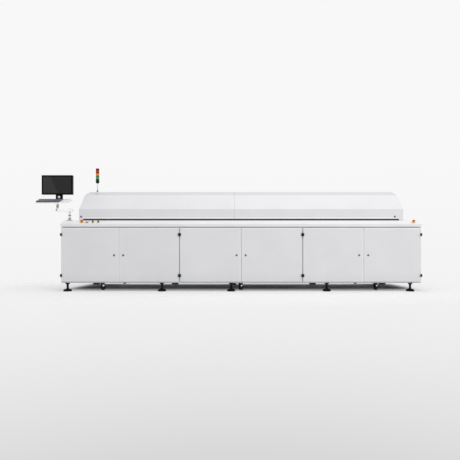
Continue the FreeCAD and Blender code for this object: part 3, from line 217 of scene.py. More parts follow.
def powder_coat(name, colour, bands=(), axis="Z", half_length=None):
    """Powder-coated steel: an even satin skin, with faint orange peel that breaks up its reflections, a
    little unevenness from sheet to sheet, and a trace of dust near the floor. Bands are (low, high, colour),
    from one place to another along an axis, in metres, and as far as half_length from the middle along X."""
    material, tree, shader, place = new_material(name)
    sheet = add(tree, "TexNoise", {"Vector": (place, "Object"), "Scale": per_metre(420), "Detail": 3.0})
    dark, pale = shade(colour, 0.975), shade(colour, 1.015)
    coat = add(tree, "MixRGB", {"Fac": (sheet, "Fac"), "Color1": linear(dark), "Color2": linear(pale)})
    split = add(tree, "SeparateXYZ", {"Vector": (place, "Object")})
    low = add(tree, "MapRange", {
        "Value": (split, "Z"), "From Min": 0.13, "From Max": 0.28, "To Min": 0.3, "To Max": 0.0})
    specks = add(tree, "TexNoise", {"Vector": (place, "Object"), "Scale": per_metre(35), "Detail": 6.0})
    dust = add(tree, "Math", {0: (low, "Result"), 1: (specks, "Fac")}, operation="MULTIPLY")
    last = add(tree, "MixRGB", {
        "Fac": (dust, "Value"), "Color1": (coat, "Color"), "Color2": linear(shade(colour, 0.86))})
    for start, stop, accent in bands:
        middle, reach = (start + stop) / 2, (stop - start) / 2
        inside = add(tree, "Math", {0: (split, axis), 1: middle, 2: reach}, operation="COMPARE")
        if half_length is not None:
            along = add(tree, "Math", {0: (split, "X"), 1: 0.0, 2: half_length}, operation="COMPARE")
            inside = add(tree, "Math", {0: (inside, "Value"), 1: (along, "Value")}, operation="MULTIPLY")
        last = add(tree, "MixRGB", {
            "Fac": (inside, "Value"), "Color1": (last, "Color"), "Color2": linear(accent)})
    # orange peel is about 2 mm across, drawn at 5 mm so that it shows in a close view
    peel = add(tree, "TexNoise", {"Vector": (place, "Object"), "Scale": per_metre(5), "Detail": 2.0})
    bump = add(tree, "Bump", {"Height": (peel, "Fac"), "Strength": 0.10, "Distance": 0.3 * MM})
    gloss = add(tree, "MapRange", {"Value": (specks, "Fac"), "To Min": 0.38, "To Max": 0.52})
    fill(tree, shader, {
        "Base Color": (last, "Color"), "Normal": (bump, "Normal"), "Roughness": (gloss, "Result"),
        "IOR": 1.48})
    return material


def grained(name, colour, grain_mm, rough, depth_mm, spread=0.12, metallic=0.0, shine=0.5,
            stretch=(1.0, 1.0, 1.0)):
    """A moulded, cast or rolled skin: grain of a real size, stretched along the way it was worked, moves the
    colour, the roughness and the height together."""
    material, tree, shader, place = new_material(name)
    along = add(tree, "Mapping", {"Vector": (place, "Object"), "Scale": stretch})
    grain = add(tree, "TexNoise", {
        "Vector": (along, "Vector"), "Scale": per_metre(grain_mm), "Detail": 4.0, "Roughness": 0.6})
    broad = add(tree, "TexNoise", {
        "Vector": (place, "Object"), "Scale": per_metre(grain_mm * 24), "Detail": 2.0})
    both = add(tree, "Math", {0: (grain, "Fac"), 1: (broad, "Fac")}, operation="MULTIPLY")
    tone = add(tree, "MapRange", {"Value": (both, "Value"), "From Min": 0.1, "From Max": 0.45})
    dark, pale = shade(colour, 1 - spread), shade(colour, 1 + spread)
    mix = add(tree, "MixRGB", {"Fac": (tone, "Result"), "Color1": linear(dark), "Color2": linear(pale)})
    gloss = add(tree, "MapRange", {
        "Value": (tone, "Result"), "To Min": max(0.05, rough - 0.08), "To Max": min(1.0, rough + 0.08)})
    bump = add(tree, "Bump", {"Height": (grain, "Fac"), "Strength": 0.25, "Distance": depth_mm * MM})
    fill(tree, shader, {
        "Base Color": (mix, "Color"), "Normal": (bump, "Normal"), "Roughness": (gloss, "Result"),
        "Metallic": metallic, "Specular IOR Level": shine})
    return material


def legend_plastic(name, colour, brown_x):
    """Moulded legend plates: satin yellow, apart from the push button's, which is brown."""
    material = grained(name, colour, 1.2, 0.4, 0.05, spread=0.05)
    tree = material.node_tree
    shader = tree.nodes["Principled BSDF"]
    place = tree.nodes["Texture Coordinate"]
    yellow = shader.inputs["Base Color"].links[0].from_node
    split = add(tree, "SeparateXYZ", {"Vector": (place, "Object")})
    inside = add(tree, "Math", {0: (split, "X"), 1: brown_x, 2: 24 * MM}, operation="COMPARE")
    mix = add(tree, "MixRGB", {
        "Fac": (inside, "Value"), "Color1": (yellow, "Color"), "Color2": linear("B49A86")})
    fill(tree, shader, {"Base Color": (mix, "Color")})
    return material


def display_glass(name):
    """A liquid crystal panel that is off, under a matt film: near-black grey, with a painted reflection, a
    paler slanted field at the left, and a very fine grid of pixels, drawn at 2 mm so that it shows."""
    material, tree, shader, place = new_material(name)
    low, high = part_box("monitor_screen")
    split = add(tree, "SeparateXYZ", {"Vector": (place, "Object")})
    across = add(tree, "MapRange", {
        "Value": (split, "X"), "From Min": low.x, "From Max": high.x, "To Min": 0.0, "To Max": 1.0})
    up = add(tree, "MapRange", {
        "Value": (split, "Z"), "From Min": low.z, "From Max": high.z, "To Min": -0.135, "To Max": 0.135})
    slant = add(tree, "Math", {0: (across, "Result"), 1: (up, "Result")}, operation="ADD")
    # painted reflection: a paler slanted field across the left of the screen
    painted_sheen = add(tree, "MapRange", {
        "Value": (slant, "Value"), "From Min": 0.385, "From Max": 0.41, "To Min": 1.0, "To Max": 0.0})
    glow = add(tree, "MixRGB", {
        "Fac": (painted_sheen, "Result"), "Color1": linear("242524"), "Color2": linear("353634")})
    grid = add(tree, "TexChecker", {"Vector": (place, "Object"), "Scale": per_metre(2)})
    fine = add(tree, "MixRGB", {
        "Fac": 0.06, "Color1": (glow, "Color"), "Color2": (grid, "Color")}, blend_type="MULTIPLY")
    fill(tree, shader, {"Base Color": (fine, "Color"), "Roughness": 0.32, "Specular IOR Level": 0.2})
    return material


def lens_polycarbonate(name, colour, node):
    """Clear tinted polycarbonate over a white diffuser: a deep colour, darker towards both ends of the lens,
    with a hard gloss."""
    material, tree, shader, place = new_material(name)
    low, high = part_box(node)
    split = add(tree, "SeparateXYZ", {"Vector": (place, "Object")})
    rise = add(tree, "MapRange", {
        "Value": (split, "Z"), "From Min": low.z, "From Max": high.z, "To Min": -1.0, "To Max": 1.0})
    away = add(tree, "Math", {0: (rise, "Result")}, operation="ABSOLUTE")
    toward_ends = add(tree, "MapRange", {"Value": (away, "Value"), "From Min": 0.45, "From Max": 1.0})
    cloud = add(tree, "TexNoise", {"Vector": (place, "Object"), "Scale": per_metre(18), "Detail": 3.0})
    mix = add(tree, "MixRGB", {
        "Fac": (cloud, "Fac"), "Color1": linear(shade(colour, 0.86)), "Color2": linear(shade(colour, 1.12))})
    deep = add(tree, "MixRGB", {
        "Fac": (toward_ends, "Result"), "Color1": (mix, "Color"), "Color2": linear(shade(colour, 0.45))})
    fill(tree, shader, {
        "Base Color": (deep, "Color"), "Emission Color": (deep, "Color"), "Emission Strength": 0.12,
        "Roughness": 0.22, "IOR": 1.58, "Specular IOR Level": 0.25})
    return material


def make_finishes(finish):
    """Every material, by the record's slot."""
    # the hinge lugs stand ahead of the doors' faces, and are black
    lugs = (AHEAD, FRONT - 0.4 * MM, "17181A")
    # the post is painted a tone darker than its arm, a painted shade on the same coat, with dark collars, and
    # the tray riser's foot is grey
    post = [(DECK_TOP - MM, ARM_UNDERSIDE, "DCDCE2"), (RISER_FOOT, RISER_FOOT + RISER_FOOT_HEIGHT, "ACACB2")]
    for start, stop in POST_COLLARS:
        post.append((DECK_TOP + start, DECK_TOP + stop, "4A4A52"))
    # painted shade on the hood's roof: the same coat, drawn a tone darker above the roof's start
    roof = (HOOD_ROOF, HOOD_CLEAR, shade(finish.hood, 0.92))
    steel = {"grain_mm": 1.0, "metallic": 1.0}
    return {
        "door_paint": powder_coat("Powder coated door steel", finish.cabinet, [lugs], "Y"),
        "panel_paint": powder_coat("Powder coated panel steel", finish.cabinet),
        "deck_paint": powder_coat("Powder coated deck steel", finish.deck),
        "hood_paint": powder_coat("Powder coated hood steel", finish.hood, [roof],
                                  half_length=HOOD_END - 0.5 * MM),
        "frame_paint": powder_coat("Powder coated frame tube", finish.frame),
        "station_paint": powder_coat("Powder coated station steel", finish.station, post),
        # brushed along the tunnel, so its glints run lengthways
        "chamber_steel": grained("Brushed stainless sheet", "A9A9AB", rough=0.36, depth_mm=0.05,
                                 stretch=(0.04, 1.0, 1.0), **steel),
        # thick dark enamel with a soft sheen
        "motor_black": grained("Stove enamelled motor iron", "2E3033", 2.0, 0.5, 0.15),
        # bead-blasted and anodised: pale, soft and even
        "rail_aluminium": grained("Anodised aluminium extrusion", "C3C4C8", rough=0.40, depth_mm=0.04,
                                  stretch=(0.05, 1.0, 1.0), **steel),
        # the fine matt grain of a moulded housing
        "device_grey": grained("Moulded polyamide device", "8A8D91", 1.5, 0.55, 0.10),
        # sand-textured paint on a zinc casting: black with a dry speckle
        "hinge_black": grained("Black textured zinc casting", "0B0B0C", 1.6, 0.58, 0.20, shine=0.25),
        # dark plating with a clear gloss
        "lock_grey": grained("Black nickel plated zinc", "6B6C71", rough=0.30, depth_mm=0.03, **steel),
        # bright zinc with the cloudy patches of passivation
        "hinge_zinc": grained("Bright zinc plated steel", "B4B5B8", rough=0.38, depth_mm=0.05, spread=0.18,
                              **steel),
        # black metals: smooth enamel, and oiled oxide that hardly shines
        "caster_steel": grained("Black enamelled caster steel", "0C0C0D", 1.6, 0.50, 0.10, shine=0.2),
        "foot_black": grained("Black oxide steel", "09090A", 1.8, 0.55, 0.10, shine=0.15),
        # dull black with the dry grain of rubber
        "caster_wheel": grained("Moulded black rubber", "0C0C0C", 1.4, 0.72, 0.20, shine=0.2),
        "legend_yellow": legend_plastic("Moulded legend plastic", finish.legend, BUTTON_X),
        # bright, with soft edges to its glints
        "collar_grey": grained("Satin chrome plated bezel", "B9BAC0", rough=0.30, depth_mm=0.03, **steel),
        # moulded plastics of the controls: glossy where they are pressed, and satin where they are gripped
        "estop_red": grained("Moulded red nylon", finish.stop, 1.2, 0.28, 0.04, spread=0.05),
        "knob_black": grained("Moulded black knob", "161617", 1.2, 0.42, 0.08),
        "button_white": grained("Moulded ivory acetal", "E9DFD8", 1.2, 0.26, 0.03, spread=0.03),
        # drawn lengthways, so its glint is a line up the tube
        "pole_steel": grained("Drawn aluminium tube", "E4E5E7", rough=0.34, depth_mm=0.03,
                              stretch=(1.0, 1.0, 0.05), **steel),
        # fine-grained satin black
        "tower_black": grained("Moulded black lamp housing", "0E0E10", 1.2, 0.40, 0.06, shine=0.25),
        "lens_red": lens_polycarbonate("Red polycarbonate lens", "C8101E", "lens_red"),
        "lens_amber": lens_polycarbonate("Amber polycarbonate lens", "F08A06", "lens_amber"),
        "lens_green": lens_polycarbonate("Green polycarbonate lens", "08A45E", "lens_green"),
        # a grey, matt keyboard below a near-black, polished monitor
        "keyboard_dark": grained("Moulded grey ABS keyboard", "55555C", 1.0, 0.55, 0.08),
        "monitor_black": grained("Polished black ABS", "050507", 1.0, 0.20, 0.02, spread=0.05, shine=0.08),
        "screen_glass": display_glass("Matt film display glass"),
    }


def grid_faces(rows, columns, wrap=True):
    """The four corners of each cell of a grid of points, in rows, each joined to its own start if it wraps."""
    low = np.arange(rows - 1)[:, None] * columns
    high = low + columns
    here = np.arange(columns if wrap else columns - 1)[None, :]
    after = (here + 1) % columns
    return np.stack([low + here, low + after, high + after, high + here], axis=-1).reshape(-1, 4)


def repeat(points, faces, places):
    """The same shape at each place: every point plus every offset, with the faces renumbered."""
    places = np.asarray(places, float)
    all_points = (points[None] + places[:, None, :]).reshape(-1, 3)
    all_faces = (faces[None] + (np.arange(len(places)) * len(points))[:, None, None]).reshape(-1, 4)
    return all_points, all_faces


def frame_about(axis):
    """Two directions across an axis, so that the three are a right-handed set."""
    axis = np.asarray(axis, float) / np.linalg.norm(axis)
    start = np.array([1.0, 0.0, 0.0]) if abs(axis[0]) < 0.9 else np.array([0.0, 1.0, 0.0])
    first = np.cross(np.cross(axis, start), axis)
    first /= np.linalg.norm(first)
    return first, np.cross(axis, first), axis


def turned(profile, axis, segments=48, ripple=None):
    """A surface of revolution: P(t, a) = r(t) cos(a) u + r(t) sin(a) v + h(t) w, with w along the axis.
    A ripple is a function of the angle that is added to every radius above zero."""
    first, second, along = frame_about(axis)
    angle = np.linspace(0.0, 2 * math.pi, segments, endpoint=False)
    radius, height = np.asarray(profile, float).T
    radius = np.repeat(radius[:, None], segments, axis=1)
    if ripple is not None:
        radius = np.where(radius > MM, radius + ripple(angle)[None, :], radius)
    around = np.cos(angle)[:, None] * first + np.sin(angle)[:, None] * second
    points = radius[..., None] * around[None] + height[:, None, None] * along
    return points.reshape(-1, 3), grid_faces(len(profile), segments)


def swept(outline, start, run, across, up):
    """A closed profile carried along a straight path: P(s, t) = start + s run + x(t) across + y(t) up, with
    the two ends drawn in to a point at their middle."""
    outline = np.asarray(outline, float)
    middle = np.broadcast_to(outline.mean(axis=0), outline.shape)
    section = np.stack([middle, outline, outline, middle])
    share = np.array([0.0, 0.0, 1.0, 1.0])
    points = (np.asarray(start, float) + share[:, None, None] * np.asarray(run, float)
              + section[..., :1] * np.asarray(across, float) + section[..., 1:] * np.asarray(up, float))
    return points.reshape(-1, 3), grid_faces(4, len(outline))


def make_piece(name, shapes, material, body, replaces=(), sharp=35.0):
    """Puts (points, faces) shapes into one mesh object, with its poles closed, that rides on a body."""
    start = 0
    points, faces = [], []
    for shape_points, shape_faces in shapes:
        points.append(shape_points)
        faces.append(shape_faces + start)
        start += len(shape_points)
    mesh = bpy.data.meshes.new(name)
    mesh.from_pydata(np.concatenate(points).tolist(), [], np.concatenate(faces).tolist())
    work = bmesh.new()
    work.from_mesh(mesh)
    bmesh.ops.remove_doubles(work, verts=work.verts, dist=0.002 * MM)
    bmesh.ops.dissolve_degenerate(work, edges=work.edges, dist=0.001 * MM)
    bmesh.ops.recalc_face_normals(work, faces=work.faces)
    work.to_mesh(mesh)
    work.free()
    mesh.polygons.foreach_set("use_smooth", np.ones(len(mesh.polygons), bool))
    mesh.set_sharp_from_angle(angle=math.radians(sharp))
    piece = bpy.data.objects.new(name, mesh)
    bpy.context.scene.collection.objects.link(piece)
    mesh.materials.append(material)
    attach(piece, body)
    if replaces:
        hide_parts(*replaces)


def finish_for(slot):
    """The material of a record slot, which the finishes operator has stored by name."""
    name = bpy.context.scene["oven_slots"][slot]
    return bpy.data.materials[name]


class OVEN_OT_finishes(bpy.types.Operator):
    """Gives every solid the finish of its slot"""
    bl_idname = "oven.finishes"
    bl_label = "Finishes"

    def execute(self, context):
        finishes = make_finishes(context.scene.oven_finish)
        context.scene["oven_slots"] = {slot: material.name for slot, material in finishes.items()}
        for subpart in frame["record"]["subparts"]:
            node = frame["nodes"][subpart["node"]]
            for place in node.material_slots:
                place.material = finishes[subpart["material_slot"]]
        return {"FINISHED"}


class OVEN_OT_casters(bpy.types.Operator):
    """Tyre and hub of each caster wheel, turned about its axle, and bright bosses on its legs: a painted glint
    """
    bl_idname = "oven.casters"
    bl_label = "Caster wheels"

    def execute(self, context):
        turn = np.linspace(-0.5 * math.pi, 0.5 * math.pi, 13)
        # crowned tread: the shoulders are a superellipse of the half width
        crown = [(32 + 6 * math.cos(a) ** 0.5, 15 * math.sin(a)) for a in turn]
        tyre = np.array([(24, -14)] + crown + [(24, 14), (22, 9), (22, -9), (24, -14)]) * MM
        hub = np.array([(6.2, -14.6), (10, -14.6), (11, -13.6), (12, -10), (19, -9), (21, -11.5), (24, -12.5),
                        (24, 12.5), (21, 11.5), (19, 9), (12, 10), (11, 13.6), (10, 14.6), (6.2, 14.6),
                        (6.2, -14.6)]) * MM
        # satin black, a little glossier than the tyre round it
        nylon = grained("Moulded black nylon hub", "161617", 1.5, 0.42, 0.08)
        # bright boss on each leg, a painted glint where the fork catches light: a quarter ellipse turned about
        # the axle's direction
        quarter = np.linspace(0.0, 0.5 * math.pi, 7)
        dome = np.stack([15.5 * np.cos(quarter), 19.4 + 6.0 * np.sin(quarter)], axis=1) * MM
        glint_boss = np.concatenate([[(0.0, 19.0 * MM), (15.5 * MM, 19.0 * MM)], dome])
        boss_rise = np.array([0.0, 0.0, 32 * MM])
        for number in range(1, 7):
            joint = JOINTS[f"caster_wheel_{number}_roll"]
            body = f"caster_wheel_{number}"
            place = np.array([joint["pos_m"]])
            points, faces = turned(tyre, joint["axis"])
            make_piece(f"caster_tyre_{number}", [repeat(points, faces, place)], finish_for("caster_wheel"),
                       body, [body])
            points, faces = turned(hub, joint["axis"], 36)
            make_piece(f"caster_hub_{number}", [repeat(points, faces, place)], nylon, body)
            # the front casters swivel, and the rear ones are fixed to the frame
            holder = f"caster_fork_{number}" if f"caster_{number}_swivel" in JOINTS else "cabinet"
            sides = [turned(glint_boss, sign * np.array(joint["axis"]), 24) for sign in (1, -1)]
            make_piece(f"caster_glint_bosses_{number}", [repeat(*side, place + boss_rise) for side in sides],
                       finish_for("pole_steel"), holder)
        return {"FINISHED"}


class OVEN_OT_lenses(bpy.types.Operator):
    """Ribbed lamp lenses of the tower light, and the ferrule at the foot of its pole"""
    bl_idname = "oven.lenses"
    bl_label = "Tower lenses"

    def execute(self, context):
        sizes = context.scene.oven_sizes
        for colour in ("red", "amber", "green"):
            node = f"lens_{colour}"
            low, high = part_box(node)
            centre = (low + high) / 2
            reach, tall = (high.x - low.x) / 2, high.z - low.z
            # barrel: r(h) bulges a little between its two ends, with upright ribs cos(n a)^4
            share = np.linspace(0.0, 1.0, 9)
            inset, bulge = 1.2 * MM, 0.9 * MM
            wall = reach - inset + bulge * np.sin(math.pi * share)
            profile = np.concatenate([[(0.0, 0.0)], np.stack([wall, share * tall], axis=1), [(0.0, tall)]])
            count, depth = sizes.lens_ribs, sizes.lens_rib
            points, faces = turned(profile, (0, 0, 1), count * 6,
                                   lambda a: depth * np.cos(count * a) ** 4 - depth)
            make_piece(f"{node}_shell", [repeat(points, faces, [(centre.x, centre.y, low.z)])],
                       finish_for(node), "hood", [node], sharp=60.0)
        # ferrule round the pole where it leaves its foot
        low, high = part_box("tower_pole")
        ferrule = np.array([(8.0, 0.0), (14.0, 0.0), (14.0, 6.0), (12.5, 9.0), (12.5, 24.0), (11.0, 26.0),
                            (8.0, 26.0), (8.0, 0.0)]) * MM
        points, faces = turned(ferrule, (0, 0, 1), 40)
        foot_height = 33 * MM
        place = ((low.x + high.x) / 2, (low.y + high.y) / 2, low.z + foot_height)
        make_piece("pole_ferrule", [repeat(points, faces, [place])], finish_for("device_grey"), "hood")
        return {"FINISHED"}


class OVEN_OT_controls(bpy.types.Operator):
    """Mushroom heads with a smooth dome, and a white pointer on each selector"""
    bl_idname = "oven.controls"
    bl_label = "Ledge controls"

    def execute(self, context):
        # stem, skirt and dome: the dome's radius follows the cosine of a quarter turn, its height the sine
        quarter = np.linspace(0.0, 0.5 * math.pi, 14)
        dome = np.stack([22 * np.cos(quarter) ** 0.75, 29.5 + 10.6 * np.sin(quarter)], axis=1)
        stem = [(0, 12.4), (7, 12.4), (7, 24.4), (20, 24.4), (21.5, 25.4), (22, 27)]
        profile = np.concatenate([stem, dome]) * MM
        for side in ("left", "right"):
            low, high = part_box(f"estop_{side}")
            points, faces = turned(profile, LEDGE_NORMAL, 56)
            place = [((low.x + high.x) / 2, *LEDGE_PLACE)]
            make_piece(f"stop_mushroom_{side}", [repeat(points, faces, place)], finish_for("estop_red"),
                       f"estop_{side}", [f"estop_{side}"])
        # plain white with hardly any grain
        white = grained("White pointer paint", "F2F2F0", 1.0, 0.4, 0.02, spread=0.02)
        normal = np.array(LEDGE_NORMAL)
        uphill = np.array([0.0, normal[2], -normal[1]])
        # a line of oval section, half sunk in the upper end of the grip
        angle = np.linspace(0.0, 2 * math.pi, 16, endpoint=False)
        outline = np.stack([1.3 * np.cos(angle), 0.8 * np.sin(angle)], axis=1) * MM
        grip_top, offset, length = 29.5, 1.5, 10
        for number in (1, 2):
            pivot = np.array(JOINTS[f"selector_{number}_turn"]["pos_m"])
            start = pivot + normal * grip_top * MM + uphill * offset * MM
            shape = swept(outline, start, uphill * length * MM, (1, 0, 0), normal)
            make_piece(f"selector_pointer_{number}", [shape], white, f"selector_{number}")
        return {"FINISHED"}


class OVEN_OT_keyboard(bpy.types.Operator):
    """Blank keys in six rows: each is a rounded square that narrows to a dished top, tilted with the tray"""
    bl_idname = "oven.keyboard"
    bl_label = "Keyboard keys"

    def execute(self, context):
        sizes = context.scene.oven_sizes
        pitch, row_pitch = sizes.key_pitch, sizes.row_pitch
        angle = np.linspace(0.0, 2 * math.pi, 20, endpoint=False) + math.pi / 20
        # a key's outline is the superellipse |x|^6 + |y|^6 = 1
        ring = np.stack([np.cos(angle), np.sin(angle)], axis=1)
        ring = ring / (np.abs(ring) ** 6).sum(axis=1, keepdims=True) ** (1 / 6)
        # each key's level: how far it is drawn in, as a share of the half width, its scale and its height
        levels = [(0.0, 1.0, 0.0), (0.02, 1.0, 0.55), (0.14, 1.0, 1.0), (0.0, 0.55, 0.9), (0.0, 0.0, 0.86)]
        # widths of the keys from the back row to the front one, with gaps below zero
        rows = [
            [1, -1, 1, 1, 1, 1, -.5, 1, 1, 1, 1, -.5, 1, 1, 1, 1, -.3, 1, 1, 1, -.3, 1, 1, 1, 1],
            [1] * 13 + [2, -.3, 1, 1, 1, -.3, 1, 1, 1, 1],
            [1.5] + [1] * 12 + [1.5, -.3, 1, 1, 1, -.3, 1, 1, 1, 1],
            [1.75] + [1] * 11 + [2.25, -3.6, 1, 1, 1, 1],
            [2.25] + [1] * 10 + [2.75, -1.3, 1, -1.3, 1, 1, 1, 1],
            [1.25, 1.25, 1.25, 6.25, 1.25, 1.25, 1.25, 1.25, -.3, 1, 1, 1, -.3, 2, 1, 1],
        ]
        pivot = np.array(RISER)
        keyboard_low = pivot + np.array(KEYBOARD_CORNER)
        side_margin, front_margin, gap = 4 * MM, 10 * MM, 0.9 * MM
        shapes = []
        for index, row in enumerate(rows):
            widths = np.array(row, float)
            edges = np.concatenate([[0.0], np.cumsum(np.abs(widths))])
            middles = (edges[:-1] + edges[1:])[widths > 0] / 2 * pitch + side_margin
            y = (len(rows) - 0.5 - index) * row_pitch + front_margin
            for width in np.unique(widths[widths > 0]):
                half = np.array([width * pitch / 2 - gap, row_pitch / 2 - gap])
                points = np.concatenate([
                    np.column_stack([ring * (half - inset * half.min()) * scale,
                                     np.full(len(ring), rise * sizes.key_height)])
                    for inset, scale, rise in levels])
                faces = grid_faces(len(levels), len(ring))
                x = middles[np.abs(widths[widths > 0] - width) < 1e-6]
                places = keyboard_low + np.column_stack([x, np.full(len(x), y), np.zeros(len(x))])
                shapes.append(repeat(points, faces, places))
        cosine, sine = math.cos(TRAY_TILT), math.sin(TRAY_TILT)
        turn = np.array([[1, 0, 0], [0, cosine, sine], [0, -sine, cosine]])
        shapes = [((points - pivot) @ turn + pivot, faces) for points, faces in shapes]
        # paler and a little smoother than the keyboard's case
        caps = grained("Moulded grey ABS keys", "7A7981", 0.8, 0.48, 0.06)
        make_piece("keyboard_keys", shapes, caps, "tray", sharp=50.0)
        return {"FINISHED"}


class OVEN_OT_seals(bpy.types.Operator):
    """Grey bulb seals on the deck, just inside the hood's front and back walls"""
    bl_idname = "oven.seals"
    bl_label = "Hood seals"

    def execute(self, context):
        # dull grey, with the faint lengthways lines of an extrusion
        rubber = grained("Extruded grey silicone seal", "6A6A6C", 2.0, 0.7, 0.15, stretch=(0.1, 1.0, 1.0))
        tall = context.scene.oven_sizes.seal_height
        angle = np.linspace(0.0, math.pi, 15)
        # a foot with a half-round bulb above it
        radius = 9 * MM
        bulb = np.stack([radius * np.cos(angle), tall - radius + radius * np.sin(angle)], axis=1)
        foot = np.array([(-12, 4), (-12, 0), (12, 0), (12, 4), (9, 5)]) * MM
        outline = np.concatenate([foot, bulb, [(-radius, 5 * MM)]])
        for side, y in (("front", HOOD_FRONT + SEAL_SETBACK), ("back", -HOOD_FRONT - SEAL_SETBACK)):
            shape = swept(outline, (-SEAL_END, y, DECK_TOP), (2 * SEAL_END, 0, 0), (0, 1, 0), (0, 0, 1))
            make_piece(f"hood_seal_{side}", [shape], rubber, "cabinet")
        return {"FINISHED"}


class OVEN_OT_edges(bpy.types.Operator):
    """Bright strips where edges catch light, a painted highlight: where each pair of doors meets, along each
    door's top, and under the hood
    """
    bl_idname = "oven.edges"
    bl_label = "Edge highlights"

    def execute(self, context):
        # brighter than the paint beside it, and even: painted highlight
        white = grained("Extruded white trim", "FBFBFA", 2.0, 0.45, 0.10, spread=0.01)
        angle = np.linspace(0.0, math.pi, 11)
        # a low half-oval strip on the door's face, a painted highlight of the meeting edge, whose middle is
        # this far from that edge, so that it may reach over the gap
        from_edge = {1: 3.2 * MM, 3: 8.5 * MM, 5: 5.6 * MM}
        strip = np.stack([7.0 * np.cos(angle), 2.4 * np.sin(angle) - 0.2], axis=1) * MM
        # wedges whose sloped faces look up, painted highlights along the doors' tops and the hood's lower
        # edge: (out, up)
        ledge = np.array([(3.2, 1.0), (2.6, 0.0), (-0.2, 0.0), (-0.2, 15.0), (0.3, 15.0)]) * MM
        lip_highlight = np.array([(8.0, 1.2), (7.0, 0.0), (-0.2, 0.0), (-0.2, 17.0), (0.4, 17.0)]) * MM
        out, up = (0, -1, 0), (0, 0, 1)
        lug, margin, drop = 16 * MM, 3 * MM, 16 * MM
        for number in range(1, 7):
            body = f"door_{number}"
            low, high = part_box(body)
            # the hinge lugs reach beyond the sheet on the hinge side
            inset = (lug, margin) if number % 2 else (margin, lug)
            start = (low.x + inset[0], FRONT, high.z - drop)
            shapes = [swept(ledge, start, (high.x - low.x - sum(inset), 0, 0), out, up)]
            if number % 2:
                start = (high.x - from_edge[number], FRONT, low.z + margin)
                shapes.append(swept(strip, start, (0, 0, high.z - low.z - drop - 2 * margin), (1, 0, 0), out))
            make_piece(f"edge_highlight_{body}", shapes, white, body)
        gap, rise = 2 * MM, 29 * MM
        for name, x0, x1 in (("left", -HOOD_HIGHLIGHT_END, HOOD_SEAM - gap), ("right", HOOD_SEAM + gap, HOOD_HIGHLIGHT_END)):
            shape = swept(lip_highlight, (x0, HOOD_FRONT, DECK_TOP + rise), (x1 - x0, 0, 0), out, up)
            make_piece(f"hood_highlight_{name}", [shape], white, "hood")
        return {"FINISHED"}


class OVEN_OT_fasteners(bpy.types.Operator):
    """Domed screws on the end and rear panels, clamp knobs on the operator's arm, and a pale dome that paints
    a reflection on the neck
    """
    bl_idname = "oven.fasteners"
    bl_label = "Panel screws and clamp knobs"

    def execute(self, context):
        radius = context.scene.oven_sizes.screw_radius
        quarter = np.linspace(0.0, 0.5 * math.pi, 6)
        # button head: an ellipse of the head's radius and about a third of it in height, with a key's dimple
        side, rise = np.cos(quarter[:-1]), np.sin(quarter[:-1])
        head = np.stack([radius * side, radius * 0.36 * rise + 0.3 * MM], axis=1)
        socket = [(radius * 0.34, radius * 0.36), (radius * 0.30, radius * 0.12), (0.0, radius * 0.10)]
        profile = np.concatenate([[(0.0, 0.0), (radius, 0.0)], head, socket])
        zinc = finish_for("hinge_zinc")
        for sign, name in ((-1, "left"), (1, "right")):
            points, faces = turned(profile, (sign, 0, 0), 16)
            places = [(sign * CABINET_END, y, z) for y in END_SCREWS_Y for z in END_SCREWS_Z]
            make_piece(f"end_screws_{name}", [repeat(points, faces, places)], zinc, "cabinet")
        points, faces = turned(profile, (0, 1, 0), 16)
        columns = [x for a, b in REAR_PANELS for x in (a + SCREW_INSET, (a + b) / 2, b - SCREW_INSET)]
        places = [(x, -FRONT, z) for x in columns for z in REAR_SCREWS_Z]
        make_piece("rear_screws", [repeat(points, faces, places)], zinc, "cabinet")
        # warm brown metal with a fine grain
        bronze = grained("Turned bronze clamp knob", "9A7B5F", 0.8, 0.34, 0.04, metallic=1.0)
        knob = np.array([(0, 0), (4, 0), (4, 6), (9, 6.5), (10, 8), (10, 15), (9, 16.5), (0, 17)]) * MM
        flute, flutes = 0.35 * MM, 16
        for name, body, place, axis in (
            ("riser", "tray", RISER_KNOB, (1, -1, 0)),
            ("arm", "swing_arm", ARM_KNOB, (0, -1, 0)),
        ):
            points, faces = turned(knob, axis, 64, lambda a: flute * np.cos(flutes * a) - flute)
            make_piece(f"clamp_knob_{name}", [repeat(points, faces, [place])], bronze, body)
        # a pale metal dome on the front of the monitor's neck, a painted reflection: an ellipse of revolution,
        # drawn out upwards
        arc = np.linspace(0.0, 0.5 * math.pi, 12)
        dome = np.stack([20 * np.cos(arc), 1.0 + 7 * np.sin(arc)], axis=1)
        points, faces = turned(np.concatenate([[(0, -0.3), (20, -0.3)], dome]) * MM, (0, -1, 0), 40)
        low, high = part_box("monitor_neck")
        place = ((low.x + high.x) / 2, low.y, NECK_GLINT_HEIGHT)
        glint_dome = repeat(points * (1.0, 1.0, 1.15), faces, [place])
        make_piece("neck_cover", [glint_dome], finish_for("pole_steel"), "tray")
        return {"FINISHED"}


